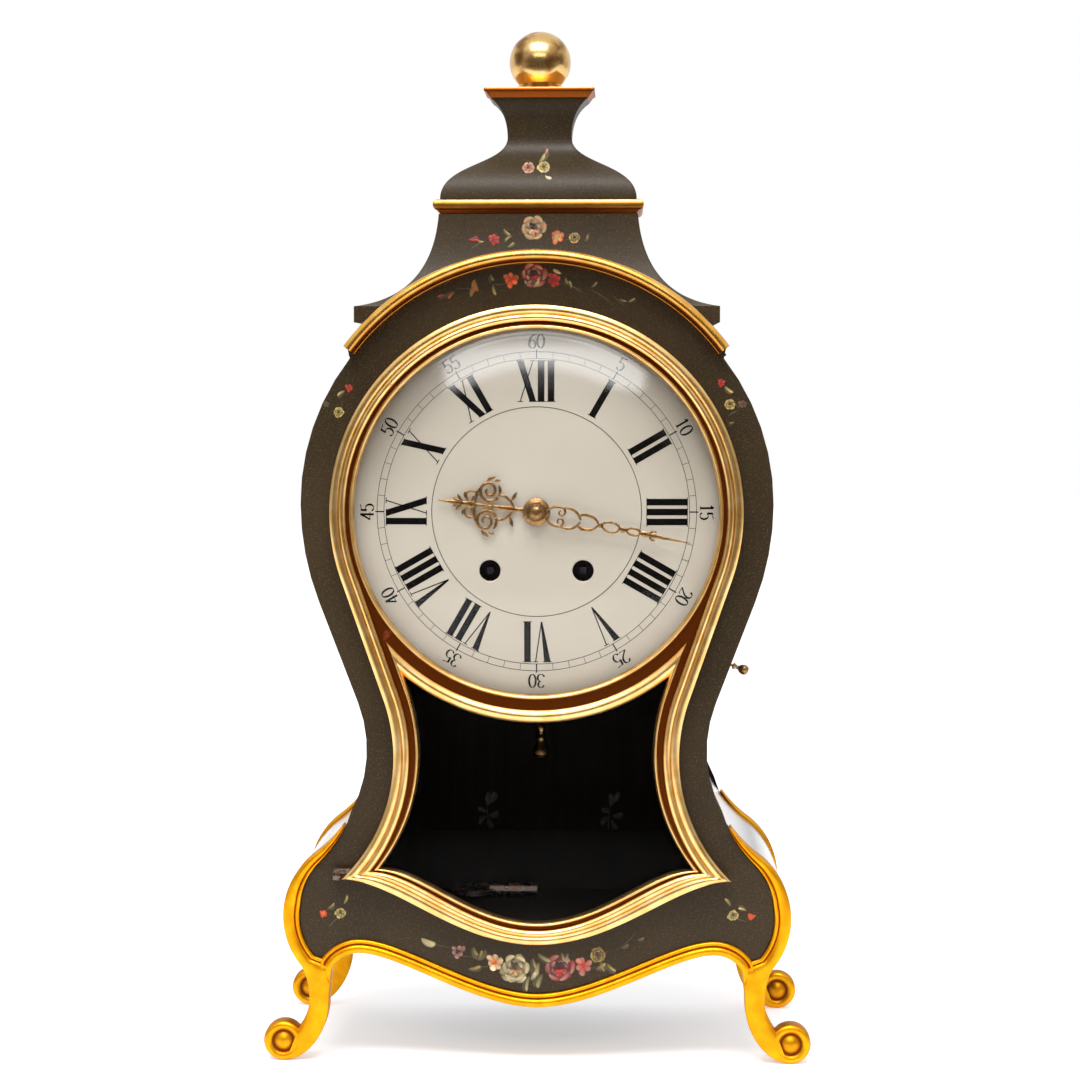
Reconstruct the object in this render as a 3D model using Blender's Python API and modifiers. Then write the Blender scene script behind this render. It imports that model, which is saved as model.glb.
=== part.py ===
"""Waisted bracket clock on scroll feet, with its door, dial and two-train movement.

Metres, +Z up, the dial faces -Y. The origin is under the middle of the clock, on the surface it stands on.
"""
import math

import bmesh
import bpy
from mathutils import Matrix, Vector
from mathutils.geometry import interpolate_bezier

MM = 0.001
FIT = 0.3 * MM
WELD = 0.0005 * MM

# Depths, front to back
CASE_DEPTH = 125 * MM
GLASS_BULGE = 17 * MM
LATCH_REACH = 8 * MM
BOARD_THICKNESS = 10 * MM
SIDE_THICKNESS = 5 * MM
SIDE_REVEAL = 1.5 * MM

# Waisted outline of the case front
KNEE_Z = 74.2 * MM
KNEE_HALF_WIDTH = 129.3 * MM
KNEE_RADIUS = 40 * MM
WAIST_HALF_WIDTH = 86.2 * MM
WAIST_RADIUS = 67 * MM
HEAD_ABOVE_WAIST = 124.5 * MM
CASE_RADIUS = 119.2 * MM
FLANK_RADIUS = 138.6 * MM
SHOULDER_DEG = 38

# Arched hood
ARCH_ABOVE_HEAD = 6.9 * MM
ARCH_RADIUS = 120.9 * MM
ARCH_BAND = 7 * MM
ARCH_PROUD = 9 * MM
ARCH_END_DEG = 37
ROOF_END_DEG = 35.5
ARCH_OVER_BOARD = 1.9 * MM
ROOF_THICKNESS = 5 * MM

# Scroll feet and the apron between them
TAIL_WIDTH = 8.4 * MM
TAIL_TIP_WIDTH = 1.6 * MM
TAIL_ABOVE_KNEE = 46.8 * MM
TAIL_END_DEG = -40
FOOT_PROUD = 2 * MM
FOOT_TOP_WIDTH = 24.6 * MM
FOOT_TOP_DROP = 27.1 * MM
FOOT_CORNER_OUT = 3.3 * MM
FOOT_CORNER_RISE = 4.9 * MM
NECK_INSET = 13.3 * MM
NECK_DROP = 43.2 * MM
NECK_WIDTH = 10 * MM
SCROLL_RADIUS = 10.2 * MM
SCROLL_FLAT = 0.3 * MM
SCROLL_OUT = 0.1 * MM
SCROLL_EYE_RADIUS = 5.5 * MM
SCROLL_EYE_PROUD = 2.5 * MM
APRON_ARCH_INSET = 38.8 * MM
APRON_ARCH_DROP = 18.7 * MM
APRON_LOW_DROP = 46.2 * MM
APRON_BAND = 7 * MM
APRON_PROUD = 2 * MM

# Boards inside the case
FLOOR_BELOW_KNEE = 8.2 * MM
FLOOR_THICKNESS = 7 * MM
SEAT_THICKNESS = 8 * MM
SEAT_SLOT_HALF = 20 * MM
SEAT_SLOT_REACH = 8 * MM
SEAT_BEHIND_PENDULUM = 18 * MM

# Crown, from the roof up
CROWN_DEPTH_RATIO = 0.668
CROWN_SHOULDER_HALF = 92 * MM
CROWN_SHOULDER_DROP = 36.3 * MM
CROWN_SHOULDER_HEIGHT = 8.1 * MM
CROWN_ABOVE_ARCH = 19.6 * MM
CROWN_BASE_TOP_HALF = 51 * MM
CROWN_BAND_HALF = 53.9 * MM
CROWN_BAND_HEIGHT = 7 * MM
BELL_ROOF_HALF = 50.3 * MM
BELL_ROOF_NECK_HALF = 16.6 * MM
BELL_ROOF_TOP_HALF = 25.1 * MM
BELL_ROOF_HEIGHT = 52.7 * MM
BELL_ROOF_NECK_RISE = 33 * MM
CAP_HALF = 28.6 * MM
CAP_HEIGHT = 5.2 * MM
BALL_RADIUS = 16 * MM
BALL_COLLAR_RADIUS = 11 * MM
BALL_COLLAR_HEIGHT = 2.5 * MM

# Front door
DIAL_BELOW_HEAD = 3.8 * MM
DOOR_RADIUS = 103.8 * MM
DOOR_WAIST_HALF = 72 * MM
DOOR_WAIST_DROP = 123.5 * MM
DOOR_CORNER_INSET = 5.4 * MM
DOOR_CORNER_DROP = 186.2 * MM
DOOR_BOTTOM_DROP = 219.1 * MM
DOOR_THICKNESS = 8.7 * MM
DOOR_BACK_STEP = 3.7 * MM
DOOR_BACK_INSET = 1.6 * MM
FRAME_WIDTH = 13.5 * MM
DIAL_RIM_WIDTH = 12.1 * MM
DIAL_RAIL_WIDTH = 14.7 * MM
GLASS_REBATE = 2.5 * MM
GLASS_THICKNESS = 2 * MM
BOARD_OPENING_INSET = 7 * MM
HINGE_INSET = 2.4 * MM
HINGE_FROM_BACK = 3.3 * MM
HINGE_RADIUS = 2.2 * MM
HINGE_PIN_RADIUS = 1 * MM
HINGE_LEAF_HEIGHT = 2.4 * MM
HINGE_LUG_HEIGHT = 2.9 * MM
UPPER_LEAF_LENGTH = 6 * MM
LOWER_LEAF_LENGTH = 15 * MM
LOWER_HINGE_RISE = 2.5 * MM

# Back door
BACK_DOOR_HALF = 72 * MM
BACK_DOOR_ABOVE_FLOOR = 29 * MM
BACK_DOOR_ABOVE_DIAL = 64.3 * MM
BACK_DOOR_THICKNESS = 8 * MM
BACK_DOOR_CLEARANCE = 1.5 * MM
BACK_PIN_OFFSET = 6 * MM
BACK_PIN_RADIUS = 1.5 * MM
BACK_PIN_REACH = 7 * MM
LATCH_FROM_EDGE = 11 * MM
LATCH_KNOB_RADIUS = 6.5 * MM
LATCH_SHAFT_RADIUS = 2 * MM
LATCH_TONGUE_LENGTH = 18 * MM
LATCH_TONGUE_THICKNESS = 2 * MM
LATCH_TONGUE_HALF = 3 * MM

# Dial and hands
DIAL_BEHIND_RIM = 3.3 * MM
DIAL_SETBACK = 2.5 * MM
DIAL_RISE = 2 * MM
DIAL_THICKNESS = 1.5 * MM
DIAL_CENTRE_HOLE = 6 * MM
WINDING_HOLE = 5.4 * MM
WINDING_X = 23.5 * MM
WINDING_DROP = 29.7 * MM
DIAL_FOOT_RADIUS = 2 * MM
DIAL_FOOT_CIRCLE = 44 * MM
HAND_THICKNESS = 0.8 * MM
HOUR_HAND_LENGTH = 50 * MM
MINUTE_HAND_LENGTH = 79 * MM
HOUR_HAND_AHEAD = 1.4 * MM
MINUTE_HAND_AHEAD = 3.4 * MM
MINUTE_BOSS_RADIUS = 6 * MM
HOUR_BOSS_RADIUS = 7 * MM
HAND_TIP_HALF = 0.25 * MM
HOUR_PIPE_RADIUS = 3.6 * MM
HOUR_PIPE_BORE = 2.7 * MM
CANNON_RADIUS = 2.1 * MM
HOUR_HAND_DEG = 173
MINUTE_HAND_DEG = -11.3
HAND_NUT_RADIUS = 4.2 * MM
HAND_NUT_HEIGHT = 4 * MM

# Movement plates, measured back from the case front
PLATE_THICKNESS = 2.5 * MM
FRONT_PLATE_SETBACK = 24 * MM
PLATE_GAP = 39.5 * MM
PLATE_HALF_WIDTH = 50 * MM
PLATE_ABOVE = 42 * MM
PLATE_BELOW = 58 * MM
PILLAR_RADIUS = 3.5 * MM
PILLAR_INSET = 7 * MM
ARBOR_RADIUS = 0.8 * MM
PIVOT_CLEARANCE = 0.4 * MM
WINDING_ARBOR_RADIUS = 2.4 * MM

# Wheel work: leaves and teeth, and modules
TOOTH_ADDENDUM = 0.6
TOOTH_DEDENDUM = 1.2
GREAT_TEETH = 70
GREAT_MODULE = 0.6 * MM
INTERMEDIATE_LEAVES = 10
INTERMEDIATE_TEETH = 70
CENTRE_LEAVES = 10
CENTRE_TEETH = 72
TRAIN_MODULE = 0.5 * MM
THIRD_LEAVES = 6
THIRD_TEETH = 72
THIRD_MODULE = 0.4 * MM
ESCAPE_LEAVES = 6
ESCAPE_TEETH = 32
ESCAPE_RADIUS = 9 * MM
PIN_WHEEL_LEAVES = 8
PIN_WHEEL_TEETH = 60
FLY_LEAVES = 6
CANNON_LEAVES = 12
MINUTE_TEETH = 36
MINUTE_LEAVES = 10
HOUR_TEETH = 40
MOTION_MODULE = 0.5 * MM
WHEEL_THICKNESS = 2 * MM
WHEEL_GAP = 2.5 * MM
LIFTING_PIN_LENGTH = 3 * MM
LIFTING_PIN_RADIUS = 0.8 * MM
LIFTING_PIN_CIRCLE = 11 * MM
FLY_HALF_WIDTH = 7 * MM
FLY_THICKNESS = 1 * MM
HAMMER_X = -34 * MM
HAMMER_ABOVE_DIAL = 15 * MM
HAMMER_HEAD_RADIUS = 3.2 * MM
HAMMER_HEAD_LENGTH = 9 * MM
HAMMER_STEM_RADIUS = 1.1 * MM
HAMMER_CLEARANCE = 1 * MM
CLICK_REACH = 9.5 * MM
CLICK_EYE_RADIUS = 2.6 * MM
CLICK_BEAK_HALF = 1 * MM
WINDING_SQUARE_HALF = 1.6 * MM
BARREL_RADIUS = 17.5 * MM
BARREL_WALL = 1.2 * MM
BARREL_DEPTH = 20 * MM
SPRING_THICKNESS = 7 * MM
RATCHET_RADIUS = 7 * MM
RATCHET_TEETH = 16

# Pendulum, bell and pull
PENDULUM_ABOVE = 25.6 * MM
ESCAPE_DISTANCE = 16 * MM
ESCAPE_DEG = -25
PALLET_GAP = 2.4 * MM
PENDULUM_SETBACK = 80 * MM
PENDULUM_ROD_RADIUS = 0.9 * MM
BOB_DROP = 143.3 * MM
BOB_HEIGHT = 18 * MM
CRUTCH_LENGTH = 32 * MM
CRUTCH_THICKNESS = 1.5 * MM
CRUTCH_HALF_WIDTH = 1.2 * MM
CRUTCH_SETBACK = 2 * MM
CRUTCH_PIN_RADIUS = 0.7 * MM
PALLET_ARM_RADIUS = 0.9 * MM
COCK_HALF_WIDTH = 6 * MM
COCK_RISE = 3 * MM
COCK_HEIGHT = 5 * MM
HOOK_HALF = 2 * MM
BOB_RADIUS = 4.6 * MM
GONG_RADIUS = 27 * MM
GONG_HEIGHT = 22 * MM
GONG_RISE = 53 * MM
GONG_WALL = 2 * MM
GONG_POST_RADIUS = 2.2 * MM
PULL_SHARE = 0.71
PULL_SETBACK = 60 * MM
PULL_ROD_RADIUS = 0.8 * MM
PULL_KNOB_RADIUS = 2.8 * MM
PULL_OUTSIDE = 16 * MM
PULL_INSIDE = 24 * MM
PULL_STOP = 10 * MM
KEY_LENGTH = 46 * MM
KEY_BARREL_RADIUS = 3.6 * MM
KEY_BOW_HALF = 13 * MM
KEY_BOW_THICKNESS = 2.6 * MM
KEY_FROM_BACK = 22 * MM
KEY_FROM_MIDDLE = 2.5 * MM

# Planes worked out from the depths above
FRONT = GLASS_BULGE - (GLASS_BULGE + CASE_DEPTH + LATCH_REACH) / 2
BACK = FRONT + CASE_DEPTH
MIDDLE = (FRONT + BACK) / 2
BOARD_BACK = FRONT + BOARD_THICKNESS
FRAME_FRONT = BACK - BOARD_THICKNESS
DOOR_BACK = FRONT - FIT
DOOR_FRONT = DOOR_BACK - DOOR_THICKNESS
DOOR_STEP = DOOR_BACK - DOOR_BACK_STEP
FRONT_PLATE = FRONT + FRONT_PLATE_SETBACK
BACK_PLATE = FRONT_PLATE + PLATE_THICKNESS + PLATE_GAP
SPACE_FRONT = FRONT_PLATE + PLATE_THICKNESS
LAYER_INTERMEDIATE = SPACE_FRONT + WHEEL_THICKNESS
LAYER_GREAT = LAYER_INTERMEDIATE + WHEEL_THICKNESS + WHEEL_GAP
LAYER_CENTRE = LAYER_GREAT + WHEEL_THICKNESS + 2 * WHEEL_GAP
LAYER_THIRD = LAYER_CENTRE + WHEEL_THICKNESS + WHEEL_GAP
LAYER_ESCAPE = LAYER_THIRD + WHEEL_THICKNESS + WHEEL_GAP
LAYER_PIN_WHEEL = LAYER_GREAT + WHEEL_THICKNESS + BARREL_DEPTH + LIFTING_PIN_LENGTH + FIT
LAYER_RATCHET = FRONT_PLATE - 1.5 * WHEEL_THICKNESS
LAYER_MINUTE = FRONT_PLATE - WHEEL_THICKNESS - WHEEL_GAP
LAYER_HOUR = LAYER_MINUTE - 2 * WHEEL_THICKNESS

# Heights worked out from the ground up
KNEE_X = KNEE_HALF_WIDTH - KNEE_RADIUS
WAIST_CENTRE_X = WAIST_HALF_WIDTH + WAIST_RADIUS
KNEE_RISE = math.sqrt((WAIST_RADIUS + KNEE_RADIUS) ** 2 - (WAIST_CENTRE_X - KNEE_X) ** 2)
WAIST_Z = KNEE_Z + KNEE_RISE
CASE_CENTRE_Z = WAIST_Z + HEAD_ABOVE_WAIST
DIAL_Z = CASE_CENTRE_Z - DIAL_BELOW_HEAD
ARCH_CENTRE_Z = CASE_CENTRE_Z + ARCH_ABOVE_HEAD
ARCH_TOP_Z = ARCH_CENTRE_Z + ARCH_RADIUS
BOARD_TOP_RADIUS = ARCH_RADIUS - ARCH_OVER_BOARD
TAIL_TOP_Z = KNEE_Z + TAIL_ABOVE_KNEE
FOOT_INNER_TOP = (KNEE_HALF_WIDTH - FOOT_TOP_WIDTH, KNEE_Z - FOOT_TOP_DROP)
FOOT_CORNER = (FOOT_INNER_TOP[0] + FOOT_CORNER_OUT, FOOT_INNER_TOP[1] + FOOT_CORNER_RISE)
NECK_X = KNEE_HALF_WIDTH - NECK_INSET
NECK_Z = KNEE_Z - NECK_DROP
SCROLL_X = KNEE_HALF_WIDTH + SCROLL_OUT
SCROLL_Z = SCROLL_RADIUS - SCROLL_FLAT
APRON_ARCH = (KNEE_HALF_WIDTH - APRON_ARCH_INSET, KNEE_Z - APRON_ARCH_DROP)
APRON_LOW_Z = KNEE_Z - APRON_LOW_DROP
FLOOR_TOP_Z = KNEE_Z - FLOOR_BELOW_KNEE
SEAT_TOP_Z = DIAL_Z - PLATE_BELOW - FIT
CROWN_SHOULDER_LOW_Z = ARCH_TOP_Z - CROWN_SHOULDER_DROP
CROWN_SHOULDER_HIGH_Z = CROWN_SHOULDER_LOW_Z + CROWN_SHOULDER_HEIGHT
CROWN_BASE_TOP_Z = ARCH_TOP_Z + CROWN_ABOVE_ARCH
DIAL_OPENING = DOOR_RADIUS - DIAL_RIM_WIDTH
DIAL_RADIUS = DIAL_OPENING + DIAL_BEHIND_RIM
WINDOW_TOP_RADIUS = DIAL_OPENING + DIAL_RAIL_WIDTH
DOOR_WAIST_Z = DIAL_Z - DOOR_WAIST_DROP
DOOR_CORNER_Z = DIAL_Z - DOOR_CORNER_DROP
DOOR_CORNER_HALF = DOOR_RADIUS - DOOR_CORNER_INSET
DOOR_BOTTOM_Z = DIAL_Z - DOOR_BOTTOM_DROP
DOOR_FLARE = DOOR_CORNER_HALF - DOOR_WAIST_HALF
DOOR_WAIST_RADIUS = ((DOOR_WAIST_Z - DOOR_CORNER_Z) ** 2 + DOOR_FLARE ** 2) / (2 * DOOR_FLARE)
LOWER_HINGE_Z = DOOR_CORNER_Z + LOWER_HINGE_RISE
BACK_DOOR_LOW_Z = FLOOR_TOP_Z + BACK_DOOR_ABOVE_FLOOR
BACK_DOOR_HIGH_Z = DIAL_Z + BACK_DOOR_ABOVE_DIAL
LATCH_Z = (BACK_DOOR_LOW_Z + BACK_DOOR_HIGH_Z) / 2
ANCHOR_Z = DIAL_Z + PENDULUM_ABOVE
BOB_TOP_Z = ANCHOR_Z - BOB_DROP
BOB_BOTTOM_Z = BOB_TOP_Z - BOB_HEIGHT


def collection(name):
    """A new collection in the scene."""
    made = bpy.data.collections.new(name)
    bpy.context.scene.collection.children.link(made)
    return made


for old in list(bpy.data.objects):
    bpy.data.objects.remove(old, do_unlink=True)
PARTS = collection("bracket_clock")
WORK = collection("cutters")


def finish(name, colour, roughness, metallic=0.0):
    """A plain surface finish."""
    made = bpy.data.materials.new(name)
    made.use_nodes = True
    shader = made.node_tree.nodes["Principled BSDF"]
    shader.inputs["Base Color"].default_value = (*colour, 1.0)
    shader.inputs["Roughness"].default_value = roughness
    shader.inputs["Metallic"].default_value = metallic
    return made


LACQUER = finish("lacquer", (0.066, 0.052, 0.036), 0.35)
GILT = finish("gilt", (0.78, 0.46, 0.08), 0.32, 1.0)
GILT_BRASS = finish("gilt_brass", (0.76, 0.50, 0.17), 0.3, 1.0)
BARE_WOOD = finish("bare_wood", (0.10, 0.055, 0.03), 0.7)
DIAL_WHITE = finish("dial_enamel", (0.72, 0.68, 0.58), 0.3)
BRASS = finish("brass", (0.72, 0.50, 0.18), 0.35, 1.0)
STEEL = finish("steel", (0.45, 0.45, 0.46), 0.35, 1.0)
BLUED = finish("spring_steel", (0.10, 0.11, 0.16), 0.35, 1.0)
BRONZE = finish("bronze", (0.30, 0.17, 0.07), 0.4, 1.0)
GLASS = finish("clear_glass", (0.85, 0.88, 0.88), 0.05)


def linked(mesh):
    """A working object for a mesh, left out of the finished clock."""
    made = bpy.data.objects.new("shape", mesh)
    made.display_type = "WIRE"
    made.hide_render = True
    WORK.objects.link(made)
    return made


def settled(obj):
    """The evaluated shape of a working object, welded, as a new working object."""
    bpy.context.view_layer.update()
    graph = bpy.context.evaluated_depsgraph_get()
    mesh = bpy.data.meshes.new_from_object(obj.evaluated_get(graph))
    mesh.transform(obj.matrix_world)
    shape = bmesh.new()
    shape.from_mesh(mesh)
    bmesh.ops.remove_doubles(shape, verts=shape.verts, dist=WELD)
    shape.to_mesh(mesh)
    shape.free()
    bpy.data.objects.remove(obj)
    return linked(mesh)


def combined(operation, base, tools, solver="EXACT"):
    """The base joined with, or cut by, the tools, one after the other."""
    for tool in tools:
        boolean = base.modifiers.new(operation.lower(), "BOOLEAN")
        boolean.operation = operation
        boolean.solver = solver
        boolean.object = tool
        base = settled(base)
        bpy.data.objects.remove(tool)
    return base


def joined(base, *tools):
    """One solid from several that run into each other."""
    return combined("UNION", base, tools)


def cut(base, *tools):
    """The base with the tools taken out of it."""
    return combined("DIFFERENCE", base, tools)


def plate(loops, front, thickness):
    """A flat piece in the X-Z plane: the first loop is its edge, the others are holes."""
    outline = bpy.data.curves.new("outline", "CURVE")
    outline.dimensions = "2D"
    outline.fill_mode = "BOTH"
    outline.extrude = thickness / 2
    for loop in loops:
        spline = outline.splines.new("POLY")
        spline.points.add(len(loop) - 1)
        for point, (x, z) in zip(spline.points, loop):
            point.co = (x, z, 0, 1)
        spline.use_cyclic_u = True
    obj = bpy.data.objects.new("outline", outline)
    obj.rotation_euler = (math.pi / 2, 0, 0)
    obj.location = (0, front + thickness / 2, 0)
    WORK.objects.link(obj)
    return settled(obj)


def block(low, high):
    """A box between two corners."""
    shape = bmesh.new()
    low, high = Vector(low), Vector(high)
    size = Matrix.Diagonal((*(high - low), 1))
    bmesh.ops.create_cube(shape, size=1, matrix=Matrix.Translation((low + high) / 2) @ size)
    mesh = bpy.data.meshes.new("block")
    shape.to_mesh(mesh)
    shape.free()
    return linked(mesh)


def rod(start, end, radius, sides=16, end_radius=None):
    """A round bar, or a cone, from one point to another."""
    start, end = Vector(start), Vector(end)
    along = end - start
    shape = bmesh.new()
    turn = along.to_track_quat("Z", "Y").to_matrix().to_4x4()
    far = radius if end_radius is None else end_radius
    bmesh.ops.create_cone(shape, cap_ends=True, segments=sides, radius1=radius, radius2=far,
                          depth=along.length, matrix=Matrix.Translation((start + end) / 2) @ turn)
    mesh = bpy.data.meshes.new("rod")
    shape.to_mesh(mesh)
    shape.free()
    return linked(mesh)


def arbor(centre, front, length, radius, sides=12):
    """A round bar running back from the plane at front."""
    x, z = centre
    return rod((x, front, z), (x, front + length, z), radius, sides)


def turned(profile, centre, steps, along_y=False):
    """A lathe shape: the profile holds radius and height, from the top down its outer side."""
    mesh = bpy.data.meshes.new("profile")
    edges = [(i, i + 1) for i in range(len(profile) - 1)]
    mesh.from_pydata([(radius, 0, height) for radius, height in profile], edges, [])
    obj = linked(mesh)
    screw = obj.modifiers.new("lathe", "SCREW")
    screw.steps = steps
    screw.render_steps = steps
    screw.use_merge_vertices = True
    screw.merge_threshold = WELD
    obj.location = centre
    if along_y:
        obj.rotation_euler = (math.pi / 2, 0, 0)
    return settled(obj)


def four_sided(profile, centre_y):
    """A square-plan shape with curved faces: the profile holds half width and height, top to bottom."""
    corner = math.sqrt(2)
    obj = turned([(half * corner, z) for half, z in profile], (0, 0, 0), 4)
    obj.data.transform(Matrix.Rotation(math.pi / 4, 4, "Z"))
    obj.data.transform(Matrix.Diagonal((1, CROWN_DEPTH_RATIO, 1, 1)))
    obj.data.transform(Matrix.Translation((0, centre_y, 0)))
    return obj


def holder(name, place):
    """An empty on a joint's axis, which carries the pieces that turn together."""
    made = bpy.data.objects.new(name, None)
    made.location = place
    PARTS.objects.link(made)
    return made


def part(name, shape, surface, pivot=(0, 0, 0), carrier=None):
    """A finished piece, with its origin at the pivot or carried by an empty."""
    mesh = shape.data
    origin = carrier.location.copy() if carrier else Vector(pivot)
    mesh.transform(Matrix.Translation(-origin))
    bpy.data.objects.remove(shape)
    mesh.name = name
    mesh.materials.clear()
    mesh.materials.append(surface)
    mesh.shade_smooth()
    mesh.set_sharp_from_angle(angle=math.radians(30))
    made = bpy.data.objects.new(name, mesh)
    PARTS.objects.link(made)
    if carrier:
        made.parent = carrier
    else:
        made.location = origin
    return made


def polar(centre, radius, degrees):
    """A point at an angle round a centre in the X-Z plane."""
    angle = math.radians(degrees)
    return (centre[0] + radius * math.cos(angle), centre[1] + radius * math.sin(angle))


def arc(centre, radius, start, end, steps):
    """Points along an arc, both ends included."""
    return [polar(centre, radius, start + (end - start) * i / steps) for i in range(steps + 1)]


def ring(centre, radius, sides=24):
    """A closed circle of points."""
    return arc(centre, radius, 0, 360 * (sides - 1) / sides, sides - 1)


def bow(start, handle_a, handle_b, end, steps):
    """Points along a smooth curve with two handles."""
    knots = [Vector((x, z, 0)) for x, z in (start, handle_a, handle_b, end)]
    return [(point.x, point.y) for point in interpolate_bezier(*knots, steps + 1)]


def mirrored(points):
    """The same points on the other side of the middle, in reverse order."""
    return [(-x, z) for x, z in reversed(points)]


def both_sides(half):
    """A whole outline from its right half, which runs from the top to the bottom middle."""
    left = [(x, z) for x, z in mirrored(half) if x < -WELD]
    return half + left


def flipped(points, side):
    """Points for the right (side 1) or the left (side -1)."""
    return [(side * x, z) for x, z in points]


def crossing_tangent(centre_a, radius_a, centre_b, radius_b):
    """The angle at which a line leaves the first circle to touch the second on its other side."""
    dx, dz = centre_b[0] - centre_a[0], centre_b[1] - centre_a[1]
    return math.degrees(math.atan2(dz, dx) + math.acos((radius_a + radius_b) / math.hypot(dx, dz)))


def inward(points, distance):
    """A line of points moved to its left by a distance."""
    moved = []
    for i, (x, z) in enumerate(points):
        before = points[max(i - 1, 0)]
        after = points[min(i + 1, len(points) - 1)]
        dx, dz = after[0] - before[0], after[1] - before[1]
        length = math.hypot(dx, dz)
        moved.append((x - dz / length * distance, z + dx / length * distance))
    return moved


# Case outline: arcs that run into each other, each with its centre, radius and which way it bulges
UPPER_CENTRE = (0, CASE_CENTRE_Z)
FLANK_CENTRE = (CASE_RADIUS - FLANK_RADIUS, CASE_CENTRE_Z)
WAIST_CENTRE = (WAIST_CENTRE_X, WAIST_Z)
KNEE_CENTRE = (KNEE_X, KNEE_Z)
FLANK_DEG = crossing_tangent(FLANK_CENTRE, FLANK_RADIUS, WAIST_CENTRE, WAIST_RADIUS)
KNEE_DEG = math.degrees(math.atan2(KNEE_RISE, WAIST_CENTRE[0] - KNEE_X))
TAIL_START_DEG = 180 + math.degrees(math.asin((WAIST_Z - TAIL_TOP_Z) / WAIST_RADIUS))


def case_edge(inset, low_deg):
    """Right edge of the case from the shoulder down to an angle on the knee."""
    points = arc(UPPER_CENTRE, CASE_RADIUS - inset, SHOULDER_DEG, 0, 6)
    points += arc(FLANK_CENTRE, FLANK_RADIUS - inset, 0, FLANK_DEG, 4)[1:]
    points += arc(WAIST_CENTRE, WAIST_RADIUS + inset, 180 + FLANK_DEG, 180 + KNEE_DEG, 9)
    points += arc(KNEE_CENTRE, KNEE_RADIUS - inset, KNEE_DEG, low_deg, 9)[1:]
    return points


def tail_edges(gap):
    """Outer and inner edges of the gilt band on the knee, from its tip down to the foot."""
    waist_steps = 4
    knee_steps = 9
    outer, inner = [], []
    waist = [TAIL_START_DEG + (180 + KNEE_DEG - TAIL_START_DEG) * i / waist_steps for i in range(waist_steps)]
    knee = [KNEE_DEG + (TAIL_END_DEG - KNEE_DEG) * i / knee_steps for i in range(knee_steps + 1)]
    count = waist_steps + knee_steps // 2
    for i, degrees in enumerate(waist + knee):
        width = TAIL_TIP_WIDTH + (TAIL_WIDTH - TAIL_TIP_WIDTH) * min(1, i / count) + gap
        if i < waist_steps:
            outer.append(polar(WAIST_CENTRE, WAIST_RADIUS, degrees))
            inner.append(polar(WAIST_CENTRE, WAIST_RADIUS + width, degrees))
        else:
            outer.append(polar(KNEE_CENTRE, KNEE_RADIUS, degrees))
            inner.append(polar(KNEE_CENTRE, KNEE_RADIUS - width, degrees))
    return outer, inner


def apron_edge():
    """Lower edge of the apron from the foot to the middle."""
    arch_x, arch_z = APRON_ARCH
    foot_x, foot_z = FOOT_INNER_TOP
    across, up = foot_x - arch_x, arch_z - foot_z
    rise = bow(FOOT_INNER_TOP, (foot_x - 0.18 * across, arch_z - 0.42 * up), (arch_x + 0.42 * across, arch_z),
               APRON_ARCH, 4)
    fall = bow(APRON_ARCH, (arch_x * 0.78, arch_z), (arch_x * 0.35, APRON_LOW_Z), (0, APRON_LOW_Z), 9)
    return rise + fall[1:]


def apron_top(distance):
    """Upper edge of the apron band, clear of the feet: the lower edge moved up into the board."""
    moved = inward(list(reversed(apron_edge())), distance)
    lean = (FOOT_CORNER[0] - FOOT_INNER_TOP[0]) / (FOOT_CORNER[1] - FOOT_INNER_TOP[1])
    half = [(x, z) for x, z in reversed(moved)
            if x < min(FOOT_CORNER[0], FOOT_INNER_TOP[0] + lean * (z - FOOT_INNER_TOP[1])) - 4 * FIT]
    return half[:-1] + [(0, half[-1][1])]


def board_half(band):
    """Right half of a front or back board, whose edge steps in for the feet and the apron band."""
    points = arc((0, ARCH_CENTRE_Z), BOARD_TOP_RADIUS, 90, ARCH_END_DEG, 10)
    points += [point for point in case_edge(0, KNEE_DEG) if point[1] > TAIL_TOP_Z]
    points += tail_edges(FIT)[1]
    corner = (FOOT_CORNER[0] - FIT, FOOT_CORNER[1] + 2 * FIT)
    return points + [corner] + apron_top(band + FIT)


def sheet(outer, inner):
    """A closed outline between two edges that run the same way."""
    return outer + list(reversed(inner))


# Door outline: a round head, a drawn-in waist and an ogee foot
DIAL_CENTRE = (0, DIAL_Z)
DOOR_WAIST_CENTRE = (DOOR_WAIST_HALF + DOOR_WAIST_RADIUS, DOOR_WAIST_Z)
DOOR_FLANK_DEG = crossing_tangent(DIAL_CENTRE, DOOR_RADIUS, DOOR_WAIST_CENTRE, DOOR_WAIST_RADIUS)
CORNER_RISE_SHARE = 0.53
BOTTOM_RISE_SHARE = 0.92


def door_foot(inset):
    """Corner and ogee foot of the door outline, moved in by an inset."""
    corner_z = DOOR_CORNER_Z + CORNER_RISE_SHARE * inset
    radius = DOOR_WAIST_RADIUS + inset
    corner_x = DOOR_WAIST_CENTRE[0] - math.sqrt(radius ** 2 - (corner_z - DOOR_WAIST_Z) ** 2)
    bottom_z = DOOR_BOTTOM_Z + BOTTOM_RISE_SHARE * inset
    corner = (corner_x, corner_z)
    return corner, bow(corner, (corner_x * 0.72, corner_z), (corner_x * 0.42, bottom_z), (0, bottom_z), 9)


def door_side(inset, from_deg):
    """Waist of the door outline from an angle round its centre down to the corner."""
    corner = door_foot(inset)[0]
    low_deg = math.degrees(math.atan2(corner[1] - DOOR_WAIST_Z, corner[0] - DOOR_WAIST_CENTRE[0])) + 360
    return arc(DOOR_WAIST_CENTRE, DOOR_WAIST_RADIUS + inset, from_deg, low_deg, 8)


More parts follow.
